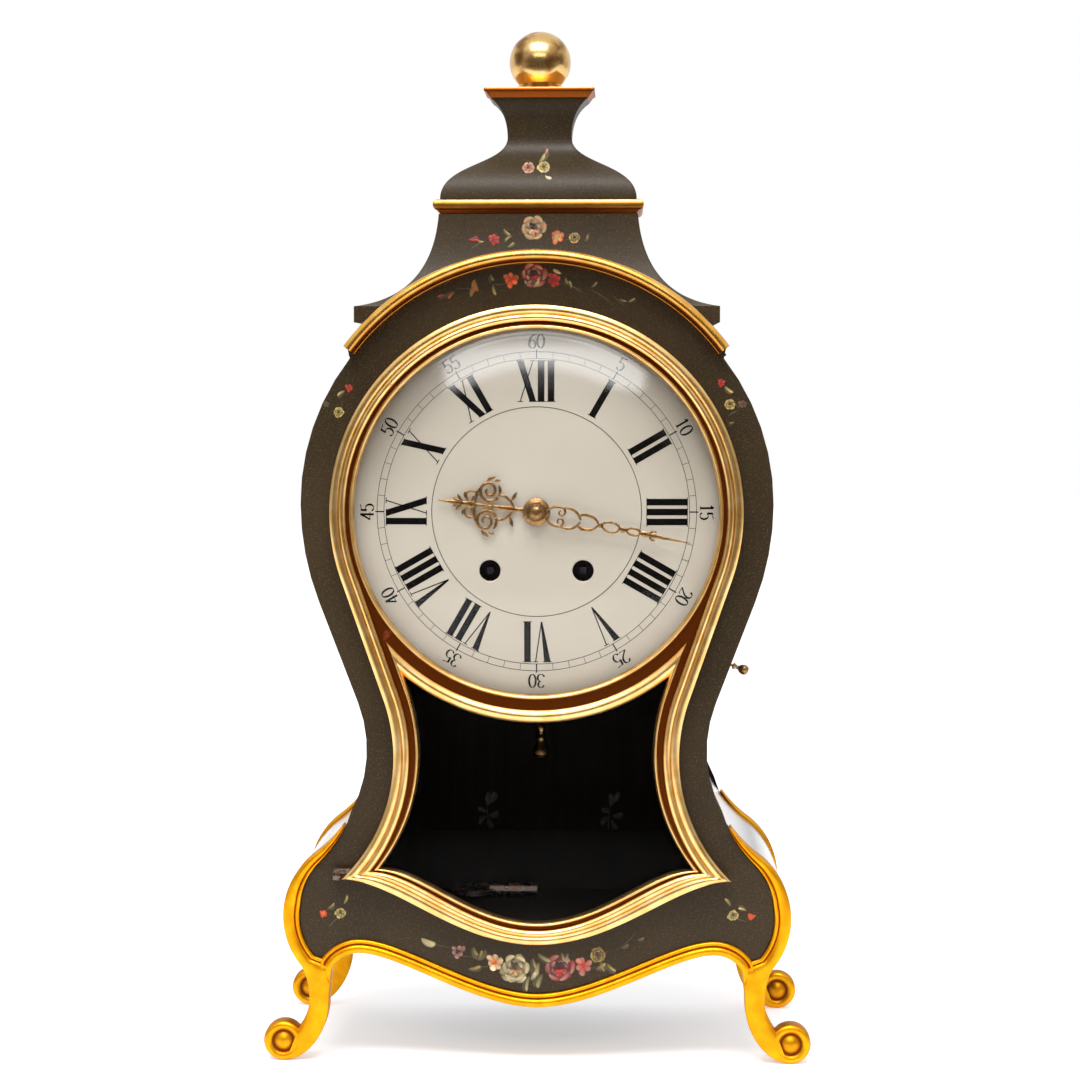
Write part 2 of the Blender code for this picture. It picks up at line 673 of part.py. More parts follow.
def door_half(inset):
    """Right half of the door outline, moved in by an inset."""
    head = arc(DIAL_CENTRE, DOOR_RADIUS - inset, 90, DOOR_FLANK_DEG, 14)
    return head + door_side(inset, 180 + DOOR_FLANK_DEG) + door_foot(inset)[1][1:]


def window_half(inset):
    """Right half of the lower window: its arched top cuts off the door's inner edge above the waist."""
    top = WINDOW_TOP_RADIUS + inset - FRAME_WIDTH
    edge = door_half(inset)
    below = [point for point in edge if point[1] < DIAL_Z and math.dist(point, DIAL_CENTRE) > top]
    first = edge.index(below[0])
    start, end = Vector(edge[first - 1]), Vector(edge[first])
    along = (end - start).normalized()
    middle = (Vector(DIAL_CENTRE) - start).dot(along)
    off = (start + along * middle - Vector(DIAL_CENTRE)).length
    corner = tuple(start + along * (middle + math.sqrt(top ** 2 - off ** 2)))
    head_deg = math.degrees(math.atan2(corner[1] - DIAL_Z, corner[0]))
    return arc(DIAL_CENTRE, top, -90, head_deg, 10)[:-1] + [corner] + below


# Case boards
def front_board():
    """Lacquered front with one opening behind the whole door."""
    shape = plate([both_sides(board_half(APRON_BAND)), both_sides(door_half(BOARD_OPENING_INSET))],
                  FRONT, BOARD_THICKNESS)
    part("front_board", shape, LACQUER)


def back_frame():
    """Back board with the opening for its door and sockets for the door's pins."""
    opening = [(BACK_DOOR_HALF, BACK_DOOR_LOW_Z), (BACK_DOOR_HALF, BACK_DOOR_HIGH_Z),
               (-BACK_DOOR_HALF, BACK_DOOR_HIGH_Z), (-BACK_DOOR_HALF, BACK_DOOR_LOW_Z)]
    shape = plate([both_sides(board_half(0)), opening], FRAME_FRONT, BOARD_THICKNESS)
    radius = BACK_PIN_RADIUS + PIVOT_CLEARANCE
    depth = BACK_PIN_REACH + 2 * FIT
    low = rod((BACK_PIN_X, BACK_PIN_Y, BACK_DOOR_LOW_Z - depth),
              (BACK_PIN_X, BACK_PIN_Y, BACK_DOOR_LOW_Z + depth),
              radius, 12)
    high = rod((BACK_PIN_X, BACK_PIN_Y, BACK_DOOR_HIGH_Z - depth),
               (BACK_PIN_X, BACK_PIN_Y, BACK_DOOR_HIGH_Z + depth), radius, 12)
    part("back_frame", cut(shape, low, high), BARE_WOOD)


BACK_PIN_X = BACK_DOOR_CLEARANCE + BACK_PIN_OFFSET - BACK_DOOR_HALF
BACK_PIN_Y = BACK - BOARD_THICKNESS / 2
SIDE_FRONT = BOARD_BACK + FIT
SIDE_DEPTH = FRAME_FRONT - FIT - SIDE_FRONT
FLOOR_LOW_Z = FLOOR_TOP_Z - FLOOR_THICKNESS
SIDE_LOW_DEG = math.degrees(math.asin((FLOOR_LOW_Z - KNEE_CENTRE[1]) / (KNEE_RADIUS - SIDE_REVEAL)))
PULL_DIRECTION = polar((0, 0), 1, FLANK_DEG)
PULL_TOUCH = polar(FLANK_CENTRE, FLANK_RADIUS, FLANK_DEG)
PULL_END = polar(WAIST_CENTRE, -WAIST_RADIUS, FLANK_DEG)
PULL_X = PULL_TOUCH[0] + (PULL_END[0] - PULL_TOUCH[0]) * PULL_SHARE
PULL_Z = PULL_TOUCH[1] + (PULL_END[1] - PULL_TOUCH[1]) * PULL_SHARE


def along_pull(distance):
    """A point on the pull's line, outwards from the face of the case side."""
    reach = distance - SIDE_REVEAL
    return (PULL_X + PULL_DIRECTION[0] * reach, FRONT + PULL_SETBACK, PULL_Z + PULL_DIRECTION[1] * reach)


def case_wrap():
    """Bent sides and roof between the two boards."""
    outer = case_edge(SIDE_REVEAL, SIDE_LOW_DEG)
    inner = case_edge(SIDE_REVEAL + SIDE_THICKNESS, SIDE_LOW_DEG)
    for name, side in (("side_panel_left", -1), ("side_panel_right", 1)):
        shape = plate([flipped(sheet(outer, inner), side)], SIDE_FRONT, SIDE_DEPTH)
        if side == 1:
            hole = rod(along_pull(-2 * SIDE_THICKNESS), along_pull(SIDE_THICKNESS),
                       PULL_ROD_RADIUS + 2 * PIVOT_CLEARANCE, 12)
            shape = cut(shape, hole)
        part(name, shape, LACQUER)
    centre = (0, ARCH_CENTRE_Z)
    radius = BOARD_TOP_RADIUS - SIDE_REVEAL
    over = arc(centre, radius, ROOF_END_DEG, 180 - ROOF_END_DEG, 20)
    under = arc(centre, radius - ROOF_THICKNESS, ROOF_END_DEG, 180 - ROOF_END_DEG, 20)
    part("roof_panel", plate([sheet(over, under)], SIDE_FRONT, SIDE_DEPTH), LACQUER)


def edge_x(inset, z):
    """Half width of the case at a height, moved in by an inset."""
    points = case_edge(inset, TAIL_END_DEG)
    for (x0, z0), (x1, z1) in zip(points, points[1:]):
        if min(z0, z1) <= z <= max(z0, z1):
            return x0 + (x1 - x0) * (z - z0) / (z1 - z0)
    return points[-1][0]


def case_floors():
    """Bottom board on the knees, and the shelf that the movement stands on."""
    lining = SIDE_REVEAL + SIDE_THICKNESS + FIT
    half = min(edge_x(lining, FLOOR_LOW_Z), edge_x(lining, FLOOR_TOP_Z)) - FIT
    board = block((-half, SIDE_FRONT, FLOOR_LOW_Z), (half, SIDE_FRONT + SIDE_DEPTH, FLOOR_TOP_Z))
    part("bottom_board", board, BARE_WOOD)
    low = SEAT_TOP_Z - SEAT_THICKNESS
    half = min(edge_x(lining, low), edge_x(lining, SEAT_TOP_Z)) - FIT
    shelf_back = FRONT + PENDULUM_SETBACK + SEAT_BEHIND_PENDULUM
    shelf = block((-half, SIDE_FRONT, low), (half, shelf_back, SEAT_TOP_Z))
    slot_y = FRONT + PENDULUM_SETBACK
    slot = block((-SEAT_SLOT_HALF, slot_y - SEAT_SLOT_REACH, low - FIT),
                 (SEAT_SLOT_HALF, slot_y + SEAT_SLOT_REACH, SEAT_TOP_Z + FIT))
    part("seat_board", cut(shelf, slot), BARE_WOOD)


# Gilt mouldings
def mouldings():
    """Arched hood moulding and the band along the apron."""
    centre = (0, ARCH_CENTRE_Z)
    over = arc(centre, ARCH_RADIUS, ARCH_END_DEG, 180 - ARCH_END_DEG, 22)
    under = arc(centre, ARCH_RADIUS - ARCH_BAND, ARCH_END_DEG, 180 - ARCH_END_DEG, 22)
    part("arch_moulding", plate([sheet(over, under)], FRONT - ARCH_PROUD - FIT, ARCH_PROUD), GILT)
    clear = 2 * FIT
    low = [(x - clear, z) if i == 0 else (x, z) for i, (x, z) in enumerate(apron_edge())]
    high = [(FOOT_CORNER[0] - clear, FOOT_CORNER[1])] + apron_top(APRON_BAND)
    outline = sheet(low + mirrored(low)[1:], high + mirrored(high)[1:])
    part("apron_moulding", plate([outline], FRONT - APRON_PROUD, BOARD_THICKNESS + APRON_PROUD), GILT)


def foot_outline():
    """Right foot: the band on the knee, a drawn-in leg and a scroll that rests on the ground."""
    outer, inner = tail_edges(0)
    scroll = (SCROLL_X, SCROLL_Z)
    join_deg = 140
    floor_deg = 270 + math.degrees(math.acos(SCROLL_Z / SCROLL_RADIUS))
    join = polar(scroll, SCROLL_RADIUS, join_deg)
    neck_out = (NECK_X, NECK_Z)
    neck_in = (NECK_X - NECK_WIDTH, NECK_Z)
    rest_out = polar(scroll, SCROLL_RADIUS, floor_deg - 360)
    rest_in = (2 * SCROLL_X - rest_out[0], 0)
    shin = outer[-1][1] - NECK_Z
    ankle = NECK_Z - join[1]
    leg_out = bow(outer[-1], (outer[-1][0] - 0.17 * shin, outer[-1][1] - 0.34 * shin),
                  (NECK_X, NECK_Z + 0.4 * shin),
                  neck_out, 4)
    leg_out += bow(neck_out, (NECK_X, NECK_Z - 0.4 * ankle), (join[0] - 0.13 * ankle, join[1] + 0.2 * ankle),
                   join, 4)[1:]
    curl = arc(scroll, SCROLL_RADIUS, join_deg, floor_deg - 360, 14)[1:]
    calf = FOOT_INNER_TOP[1] - NECK_Z
    heel = bow(rest_in, (rest_in[0] - 0.9 * SCROLL_RADIUS, 0), (neck_in[0], 0.42 * NECK_Z), neck_in, 7)
    leg_in = bow(neck_in, (neck_in[0], NECK_Z + 0.37 * calf),
                 (FOOT_INNER_TOP[0], FOOT_INNER_TOP[1] - 0.3 * calf),
                 FOOT_INNER_TOP, 3)[1:]
    return outer + leg_out[1:] + curl + heel + leg_in + [FOOT_CORNER] + list(reversed(inner))


def feet():
    """Four carved scroll feet that run up the knees of the boards."""
    for side, hand in ((-1, "left"), (1, "right")):
        outline = flipped(foot_outline(), side)
        eye = (side * SCROLL_X, SCROLL_Z)
        face = FRONT - FOOT_PROUD
        shape = plate([outline], face, BOARD_THICKNESS + FOOT_PROUD)
        boss = rod((eye[0], face + FOOT_PROUD, eye[1]), (eye[0], face - SCROLL_EYE_PROUD, eye[1]),
                   SCROLL_EYE_RADIUS, 16, SCROLL_EYE_RADIUS / 2)
        part("foot_front_" + hand, joined(shape, boss), GILT)
        part("foot_rear_" + hand, plate([outline], FRAME_FRONT, BOARD_THICKNESS), GILT)


# Crown
CROWN_BAND_Z = CROWN_BASE_TOP_Z + FIT
BELL_ROOF_Z = CROWN_BAND_Z + CROWN_BAND_HEIGHT + FIT
CAP_Z = BELL_ROOF_Z + BELL_ROOF_HEIGHT + FIT
BALL_Z = CAP_Z + CAP_HEIGHT + FIT


def crown():
    """Hollow-sided base over the roof, gilt band, ogee bell roof, cap and ball."""
    low, high = CROWN_SHOULDER_LOW_Z, CROWN_SHOULDER_HIGH_Z
    tall = CROWN_BASE_TOP_Z - high
    spread = CROWN_SHOULDER_HALF - CROWN_BASE_TOP_HALF
    flare = bow((CROWN_BASE_TOP_HALF, CROWN_BASE_TOP_Z),
                (CROWN_BASE_TOP_HALF + 0.05 * spread, CROWN_BASE_TOP_Z - 0.54 * tall),
                (CROWN_BASE_TOP_HALF + 0.34 * spread, high + 0.08 * tall), (CROWN_SHOULDER_HALF, high), 8)
    base = four_sided([(0, CROWN_BASE_TOP_Z)] + flare + [(CROWN_SHOULDER_HALF, low), (0, low)], MIDDLE)
    roof = rod((0, FRONT - ARCH_RADIUS, ARCH_CENTRE_Z), (0, BACK + ARCH_RADIUS, ARCH_CENTRE_Z),
               (BOARD_TOP_RADIUS + FIT) / math.cos(math.pi / 96), 96)
    part("crown_base", cut(base, roof), LACQUER)

    top = CROWN_BAND_Z + CROWN_BAND_HEIGHT
    lip = CROWN_BAND_HEIGHT / 4
    band = [(0, top), (CROWN_BAND_HALF - lip, top), (CROWN_BAND_HALF, top - lip),
            (CROWN_BAND_HALF, CROWN_BAND_Z + lip), (CROWN_BAND_HALF - lip, CROWN_BAND_Z), (0, CROWN_BAND_Z)]
    part("crown_moulding", four_sided(band, MIDDLE), GILT)

    neck_z = BELL_ROOF_Z + BELL_ROOF_NECK_RISE
    roof_top = BELL_ROOF_Z + BELL_ROOF_HEIGHT
    neck = (BELL_ROOF_NECK_HALF, neck_z)
    above = roof_top - neck_z
    swell = bow((BELL_ROOF_TOP_HALF, roof_top), (BELL_ROOF_NECK_HALF * 1.09, roof_top - 0.26 * above),
                (BELL_ROOF_NECK_HALF, neck_z + 0.3 * above), neck, 5)
    swell += bow(neck, (BELL_ROOF_NECK_HALF, neck_z - 0.42 * BELL_ROOF_NECK_RISE),
                 (BELL_ROOF_HALF, BELL_ROOF_Z + 0.55 * BELL_ROOF_NECK_RISE),
                 (BELL_ROOF_HALF, BELL_ROOF_Z), 9)[1:]
    part("crown_bell", four_sided([(0, roof_top)] + swell + [(0, BELL_ROOF_Z)], MIDDLE), LACQUER)

    under = CAP_HALF * 0.9
    cap = [(0, CAP_Z + CAP_HEIGHT), (CAP_HALF, CAP_Z + CAP_HEIGHT), (CAP_HALF, CAP_Z + CAP_HEIGHT / 2),
           (under, CAP_Z), (0, CAP_Z)]
    part("crown_cap", four_sided(cap, MIDDLE), GILT)

    collar_top = BALL_Z + BALL_COLLAR_HEIGHT
    seat = math.degrees(math.acos(BALL_COLLAR_RADIUS / BALL_RADIUS))
    centre_z = collar_top + BALL_RADIUS * math.sin(math.radians(seat))
    ball = arc((0, centre_z), BALL_RADIUS, 90, -seat, 11)
    ball += [(BALL_COLLAR_RADIUS, BALL_Z), (0, BALL_Z)]
    part("finial_ball", turned(ball, (0, MIDDLE, 0), 24), GILT)


# Front door and its hinges
HINGE_X = HINGE_INSET - DOOR_RADIUS
HINGE_Y = DOOR_BACK - HINGE_FROM_BACK
UPPER_HINGE_Z = DIAL_Z


def hinge(level, z, length, door):
    """A pin on a lug of the case, and the eye of a leaf let into the door."""
    radius = HINGE_RADIUS
    lug_low, lug_high = z - FIT - HINGE_LUG_HEIGHT, z - FIT
    stem = block((HINGE_X - radius, HINGE_Y, lug_low), (HINGE_X + radius, FRONT - FIT, lug_high))
    knuckle = rod((HINGE_X, HINGE_Y, lug_low), (HINGE_X, HINGE_Y, lug_high), radius)
    pin = rod((HINGE_X, HINGE_Y, lug_low + FIT), (HINGE_X, HINGE_Y, z + HINGE_LEAF_HEIGHT),
              HINGE_PIN_RADIUS, 12)
    part("door_hinge_pin_" + level, joined(knuckle, stem, pin), STEEL)
    top = z + HINGE_LEAF_HEIGHT
    half = radius / 2
    eye = rod((HINGE_X, HINGE_Y, z), (HINGE_X, HINGE_Y, top), radius)
    leaf = block((HINGE_X, HINGE_Y - half, z), (HINGE_X + length, HINGE_Y + half, top))
    bore = rod((HINGE_X, HINGE_Y, z - radius), (HINGE_X, HINGE_Y, top + radius), HINGE_PIN_RADIUS + FIT, 12)
    part("door_hinge_eye_" + level, cut(joined(eye, leaf), bore), BRASS, carrier=door)


def hinge_room(z, length):
    """The pocket in the door frame for one hinge: open behind and at the edge, with a slot for the leaf."""
    top = z + HINGE_LEAF_HEIGHT + FIT
    low = z - 3 * FIT - HINGE_LUG_HEIGHT
    swing = HINGE_RADIUS + 3 * FIT
    pocket = block((HINGE_X - 4 * HINGE_RADIUS, HINGE_Y - swing, low), (HINGE_X + swing, FRONT, top))
    half = HINGE_RADIUS / 2 + FIT
    slot = block((HINGE_X, HINGE_Y - half, z - FIT), (HINGE_X + length + FIT, HINGE_Y + half, top))
    return pocket, slot


def front_door():
    """Moulded gilt frame with a bulged dial glass and a flat lower glass, hung on the left."""
    door = holder("front_door_axis", (HINGE_X, HINGE_Y, 0))
    face = plate([both_sides(door_half(0)), ring(DIAL_CENTRE, DIAL_OPENING, 60),
                  both_sides(window_half(FRAME_WIDTH))], DOOR_FRONT, DOOR_STEP - DOOR_FRONT + FIT)
    rebate = plate([both_sides(door_half(DOOR_BACK_INSET)),
                    ring(DIAL_CENTRE, DIAL_OPENING + GLASS_REBATE, 60),
                    both_sides(window_half(FRAME_WIDTH - GLASS_REBATE))], DOOR_STEP, DOOR_BACK_STEP)
    frame = joined(face, rebate)
    rooms = [*hinge_room(UPPER_HINGE_Z, UPPER_LEAF_LENGTH), *hinge_room(LOWER_HINGE_Z, LOWER_LEAF_LENGTH)]
    part("door_frame", cut(frame, *rooms), GILT, carrier=door)
    hinge("upper", UPPER_HINGE_Z, UPPER_LEAF_LENGTH, door)
    hinge("lower", LOWER_HINGE_Z, LOWER_LEAF_LENGTH, door)

    seat = DOOR_STEP + 2 * FIT
    rim = DIAL_OPENING - FIT
    rise = GLASS_BULGE - (FRONT - seat)
    bulge = (rim ** 2 + rise ** 2) / (2 * rise)
    edge_deg = math.degrees(math.asin(rim / bulge))
    dome = [(math.sin(math.radians(a)) * bulge, math.cos(math.radians(a)) * bulge - bulge + rise)
            for a in (edge_deg * i / 5 for i in range(6))]
    inside = [(radius * (1 - GLASS_THICKNESS / rim), height - GLASS_THICKNESS)
              for radius, height in reversed(dome)]
    flange = DIAL_OPENING + GLASS_REBATE - FIT
    profile = dome + [(flange, 0), (flange, -GLASS_THICKNESS)] + inside
    glass = turned(profile, (0, seat, DIAL_Z), 40, along_y=True)
    part("dial_glass", glass, GLASS, carrier=door)
    pane = plate([both_sides(window_half(FRAME_WIDTH - GLASS_REBATE + FIT))], seat, GLASS_THICKNESS)
    part("window_glass", pane, GLASS, carrier=door)


# Back door
def back_door():
    """Plain panel on two pivot pins, with a turn button that locks behind the frame."""
    axis = holder("back_door_axis", (BACK_PIN_X, BACK_PIN_Y, 0))
    clear = BACK_DOOR_CLEARANCE
    half = BACK_DOOR_HALF - clear
    low, high = BACK_DOOR_LOW_Z + clear, BACK_DOOR_HIGH_Z - clear
    face = BACK_PIN_Y - BACK_DOOR_THICKNESS / 2
    outer = face + BACK_DOOR_THICKNESS
    bore = BACK_PIN_RADIUS + FIT
    shape = block((-half, face, low), (half, outer, high))
    holes = []
    pins = []
    for end, sign in ((low, 1), (high, -1)):
        inside = end + sign * BACK_PIN_REACH
        beyond = end - sign * (clear + BACK_PIN_REACH)
        holes.append(rod((BACK_PIN_X, BACK_PIN_Y, end - sign * clear),
                         (BACK_PIN_X, BACK_PIN_Y, inside + sign * FIT), bore, 12))
        pins.append(rod((BACK_PIN_X, BACK_PIN_Y, beyond), (BACK_PIN_X, BACK_PIN_Y, inside),
                        BACK_PIN_RADIUS, 12))
    latch_x = half - LATCH_FROM_EDGE
    shaft_hole = rod((latch_x, face - clear, LATCH_Z), (latch_x, outer + clear, LATCH_Z),
                     LATCH_SHAFT_RADIUS + PIVOT_CLEARANCE, 12)
    part("back_door_panel", cut(shape, *holes, shaft_hole), BARE_WOOD, carrier=axis)
    part("back_door_pin_lower", pins[0], STEEL, carrier=axis)
    part("back_door_pin_upper", pins[1], STEEL, carrier=axis)

    knob_front = outer + FIT
    knob_back = BACK + LATCH_REACH
    tongue_back = FRAME_FRONT - FIT
    tongue_front = tongue_back - LATCH_TONGUE_THICKNESS
    wide = LATCH_TONGUE_HALF
    shaft = rod((latch_x, tongue_front, LATCH_Z), (latch_x, knob_front + FIT, LATCH_Z),
                LATCH_SHAFT_RADIUS, 12)
    knob = rod((latch_x, knob_front, LATCH_Z), (latch_x, knob_back, LATCH_Z), LATCH_KNOB_RADIUS, 20,
               LATCH_KNOB_RADIUS * 0.8)
    tongue = block((latch_x - wide, tongue_front, LATCH_Z - LATCH_TONGUE_LENGTH),
                   (latch_x + wide, tongue_back, LATCH_Z + wide))
    latch = part("back_door_latch", joined(knob, shaft, tongue), BRASS, pivot=(latch_x, BACK_PIN_Y, LATCH_Z))
    place = latch.location.copy()
    latch.parent = axis
    latch.location = place - axis.location


# Dial and motion work
CENTRE = (0, DIAL_Z)
GOING = (WINDING_X, DIAL_Z - WINDING_DROP)
STRIKE = (-WINDING_X, DIAL_Z - WINDING_DROP)
MOTION_DISTANCE = MOTION_MODULE * (CANNON_LEAVES + MINUTE_TEETH) / 2
HOUR_MODULE = 2 * MOTION_DISTANCE / (MINUTE_LEAVES + HOUR_TEETH)
MINUTE_STUD = (0, DIAL_Z - MOTION_DISTANCE)
DIAL_EDGE = FRONT + DIAL_SETBACK
DIAL_FACE = DIAL_EDGE - DIAL_RISE
CANNON_BORE = ARBOR_RADIUS + PIVOT_CLEARANCE


def heading(a, b):
    """The angle of the line from one centre to another."""
    return math.degrees(math.atan2(b[1] - a[1], b[0] - a[0]))


def teeth_outline(centre, teeth, module, phase):
    """Outline of a wheel with pointed teeth, one tip at the angle phase."""
    pitch = teeth * module / 2
    points = []
    for i in range(teeth):
        degrees = phase + 360 * i / teeth
        points.append(polar(centre, pitch + TOOTH_ADDENDUM * module, degrees))
        points.append(polar(centre, pitch - TOOTH_DEDENDUM * module, degrees + 180 / teeth))
    return points


def wheel(centre, other, teeth, module, front, holes=()):
    """A toothed wheel with a tip on the line to the pinion that it drives."""
    outline = teeth_outline(centre, teeth, module, heading(centre, other))
    return plate([outline, *holes], front, WHEEL_THICKNESS)


def pinion(centre, other, leaves, module, front, length, holes=()):
    """A pinion with a gap on the line to the wheel that drives it."""
    outline = teeth_outline(centre, leaves, module, heading(centre, other) + 180 / leaves)
    return plate([outline, *holes], front, length)


def dial():
    """Convex enamelled dial with winding holes, on three feet that stand on the movement."""
    bulge = (DIAL_RADIUS ** 2 + DIAL_RISE ** 2) / (2 * DIAL_RISE)
    edge_deg = math.degrees(math.asin(DIAL_RADIUS / bulge))
    face = [(math.sin(math.radians(a)) * bulge, math.cos(math.radians(a)) * bulge - bulge + DIAL_RISE)
            for a in (edge_deg * i / 4 for i in range(5))]
    back = [(radius, height - DIAL_THICKNESS) for radius, height in reversed(face)]
    shape = turned(face + back, (0, DIAL_EDGE, DIAL_Z), 40, along_y=True)
    through = DIAL_EDGE + DIAL_RISE + DIAL_THICKNESS
    holes = [arbor(CENTRE, FRONT - DIAL_RISE, through - FRONT + DIAL_RISE, DIAL_CENTRE_HOLE, 16)]
    for place in (GOING, STRIKE):
        holes.append(arbor(place, FRONT - DIAL_RISE, through - FRONT + DIAL_RISE, WINDING_HOLE, 16))
    shape = cut(shape, *holes)
    start = DIAL_EDGE - DIAL_RISE / 2 + DIAL_THICKNESS / 2
    stands = []
    for degrees in (25, 155, 270):
        stands.append(arbor(polar(CENTRE, DIAL_FOOT_CIRCLE, degrees), start, FRONT_PLATE - FIT - start,
                            DIAL_FOOT_RADIUS, 10))
    part("dial_plate", joined(shape, *stands), DIAL_WHITE)


def hand_outline(length, boss, swells):
    """One side of a pierced hand along +X, from its boss to its tip, widened at each swell."""
    half = boss * 0.35
    points = [(boss * 0.6, half)]
    for place, width in swells:
        points += [(length * (place - 0.06), half), (length * place, length * width),
                   (length * (place + 0.06), half)]
    return points + [(length * 0.97, 2 * HAND_TIP_HALF), (length, HAND_TIP_HALF)]


def hand(length, boss, bore, swells, degrees, front, name, carrier):
    """A flat hand with an eye over its pipe, pointing at an angle."""
    half = hand_outline(length, boss, swells)
    outline = half + [(x, -z) for x, z in reversed(half)]
    turn = math.radians(degrees)
    placed = [(x * math.cos(turn) - z * math.sin(turn), DIAL_Z + x * math.sin(turn) + z * math.cos(turn))
              for x, z in outline]
    blade = plate([placed], front, HAND_THICKNESS)
    eye = arbor(CENTRE, front, HAND_THICKNESS, boss, 20)
    hole = arbor(CENTRE, front - HAND_THICKNESS, 3 * HAND_THICKNESS, bore, 16)
    part(name, cut(joined(eye, blade), hole), GILT_BRASS, carrier=carrier)


def motion_work():
    """Hands with the cannon pinion, minute wheel and hour wheel that step the minutes down to hours."""
    minute_axis = holder("minute_axis", (0, FRONT, DIAL_Z))
    hour_axis = holder("hour_axis", (0, FRONT, DIAL_Z))
    minute_front = DIAL_FACE - MINUTE_HAND_AHEAD - HAND_THICKNESS
    hour_front = DIAL_FACE - HOUR_HAND_AHEAD - HAND_THICKNESS
    hand(MINUTE_HAND_LENGTH, MINUTE_BOSS_RADIUS, CANNON_RADIUS + FIT,
         [(0.16, 0.076), (0.36, 0.058), (0.56, 0.038), (0.72, 0.03)],
         MINUTE_HAND_DEG, minute_front, "minute_hand", minute_axis)
    hand(HOUR_HAND_LENGTH, HOUR_BOSS_RADIUS, HOUR_PIPE_RADIUS + FIT, [(0.28, 0.22), (0.5, 0.12), (0.7, 0.07)],
         HOUR_HAND_DEG, hour_front, "hour_hand", hour_axis)

    nut_front = minute_front - FIT - HAND_NUT_HEIGHT
    nut = [(0, HAND_NUT_HEIGHT), (HAND_NUT_RADIUS * 0.55, HAND_NUT_HEIGHT * 0.9),
           (HAND_NUT_RADIUS * 0.9, HAND_NUT_HEIGHT * 0.55), (HAND_NUT_RADIUS, HAND_NUT_HEIGHT * 0.25),
           (HAND_NUT_RADIUS, 0), (0, 0)]
    shape = turned(nut, (0, nut_front + HAND_NUT_HEIGHT, DIAL_Z), 20, along_y=True)
    part("hand_nut", shape, GILT_BRASS, carrier=minute_axis)

    cannon_front = minute_front
    cannon_back = LAYER_MINUTE + WHEEL_THICKNESS
    pipe = arbor(CENTRE, cannon_front, cannon_back - cannon_front, CANNON_RADIUS, 16)
    leaves = pinion(CENTRE, MINUTE_STUD, CANNON_LEAVES, MOTION_MODULE, LAYER_MINUTE, WHEEL_THICKNESS)
    bore = arbor(CENTRE, LAYER_HOUR, FRONT_PLATE - LAYER_HOUR, CANNON_BORE, 16)
    part("cannon_pinion", cut(joined(pipe, leaves), bore), STEEL, carrier=minute_axis)

    hole = ring(MINUTE_STUD, ARBOR_RADIUS + PIVOT_CLEARANCE, 12)
    driven = wheel(MINUTE_STUD, CENTRE, MINUTE_TEETH, MOTION_MODULE, LAYER_MINUTE, [hole])
    length = LAYER_MINUTE - LAYER_HOUR + FIT
    driver = pinion(MINUTE_STUD, CENTRE, MINUTE_LEAVES, HOUR_MODULE, LAYER_HOUR, length, [hole])
    part("minute_wheel", joined(driven, driver), BRASS, pivot=(MINUTE_STUD[0], LAYER_MINUTE, MINUTE_STUD[1]))

    pipe_front = hour_front
    pipe = arbor(CENTRE, pipe_front, LAYER_HOUR + WHEEL_THICKNESS - pipe_front, HOUR_PIPE_RADIUS, 16)
    slow = wheel(CENTRE, MINUTE_STUD, HOUR_TEETH, HOUR_MODULE, LAYER_HOUR)
    bore = arbor(CENTRE, pipe_front - FIT, LAYER_MINUTE - pipe_front, HOUR_PIPE_BORE, 16)
    part("hour_wheel", cut(joined(slow, pipe), bore), BRASS, carrier=hour_axis)


# Going and striking trains
def meeting(a, reach_a, b, reach_b, side):
    """The point at given distances from two centres, on one side of the line between them."""
    dx, dz = b[0] - a[0], b[1] - a[1]
    apart = math.hypot(dx, dz)
    along = (reach_a ** 2 - reach_b ** 2 + apart ** 2) / (2 * apart)
    off = side * math.sqrt(reach_a ** 2 - along ** 2)
    return (a[0] + (dx * along - dz * off) / apart, a[1] + (dz * along + dx * off) / apart)


def mesh_distance(module, leaves, teeth):
    """How far apart a pinion and its wheel stand."""
    return module * (leaves + teeth) / 2


ANCHOR = (0, ANCHOR_Z)
ESCAPE = polar(ANCHOR, ESCAPE_DISTANCE, ESCAPE_DEG)
THIRD = meeting(CENTRE, mesh_distance(TRAIN_MODULE, THIRD_LEAVES, CENTRE_TEETH),
                ESCAPE, mesh_distance(THIRD_MODULE, ESCAPE_LEAVES, THIRD_TEETH), -1)
INTERMEDIATE = meeting(CENTRE, mesh_distance(TRAIN_MODULE, CENTRE_LEAVES, INTERMEDIATE_TEETH),
                       GOING, mesh_distance(GREAT_MODULE, INTERMEDIATE_LEAVES, GREAT_TEETH), -1)
PIN_WHEEL = polar(STRIKE, mesh_distance(GREAT_MODULE, PIN_WHEEL_LEAVES, GREAT_TEETH), 100)
FLY = polar(PIN_WHEEL, mesh_distance(TRAIN_MODULE, FLY_LEAVES, PIN_WHEEL_TEETH), 80)
HAMMER = (HAMMER_X, DIAL_Z + HAMMER_ABOVE_DIAL)
PIVOT_HOLE = ARBOR_RADIUS + PIVOT_CLEARANCE
PIVOT_FRONT = FRONT_PLATE + FIT
PIVOT_LENGTH = BACK_PLATE + PLATE_THICKNESS - FIT - PIVOT_FRONT
TRAIN_CENTRES = (CENTRE, INTERMEDIATE, THIRD, ESCAPE, ANCHOR, PIN_WHEEL, FLY, HAMMER)


def click_place(place, side):
    """The pivot of a winding click beside its ratchet."""
    return (place[0] + side * CLICK_REACH, place[1] + CLICK_REACH * 0.6)


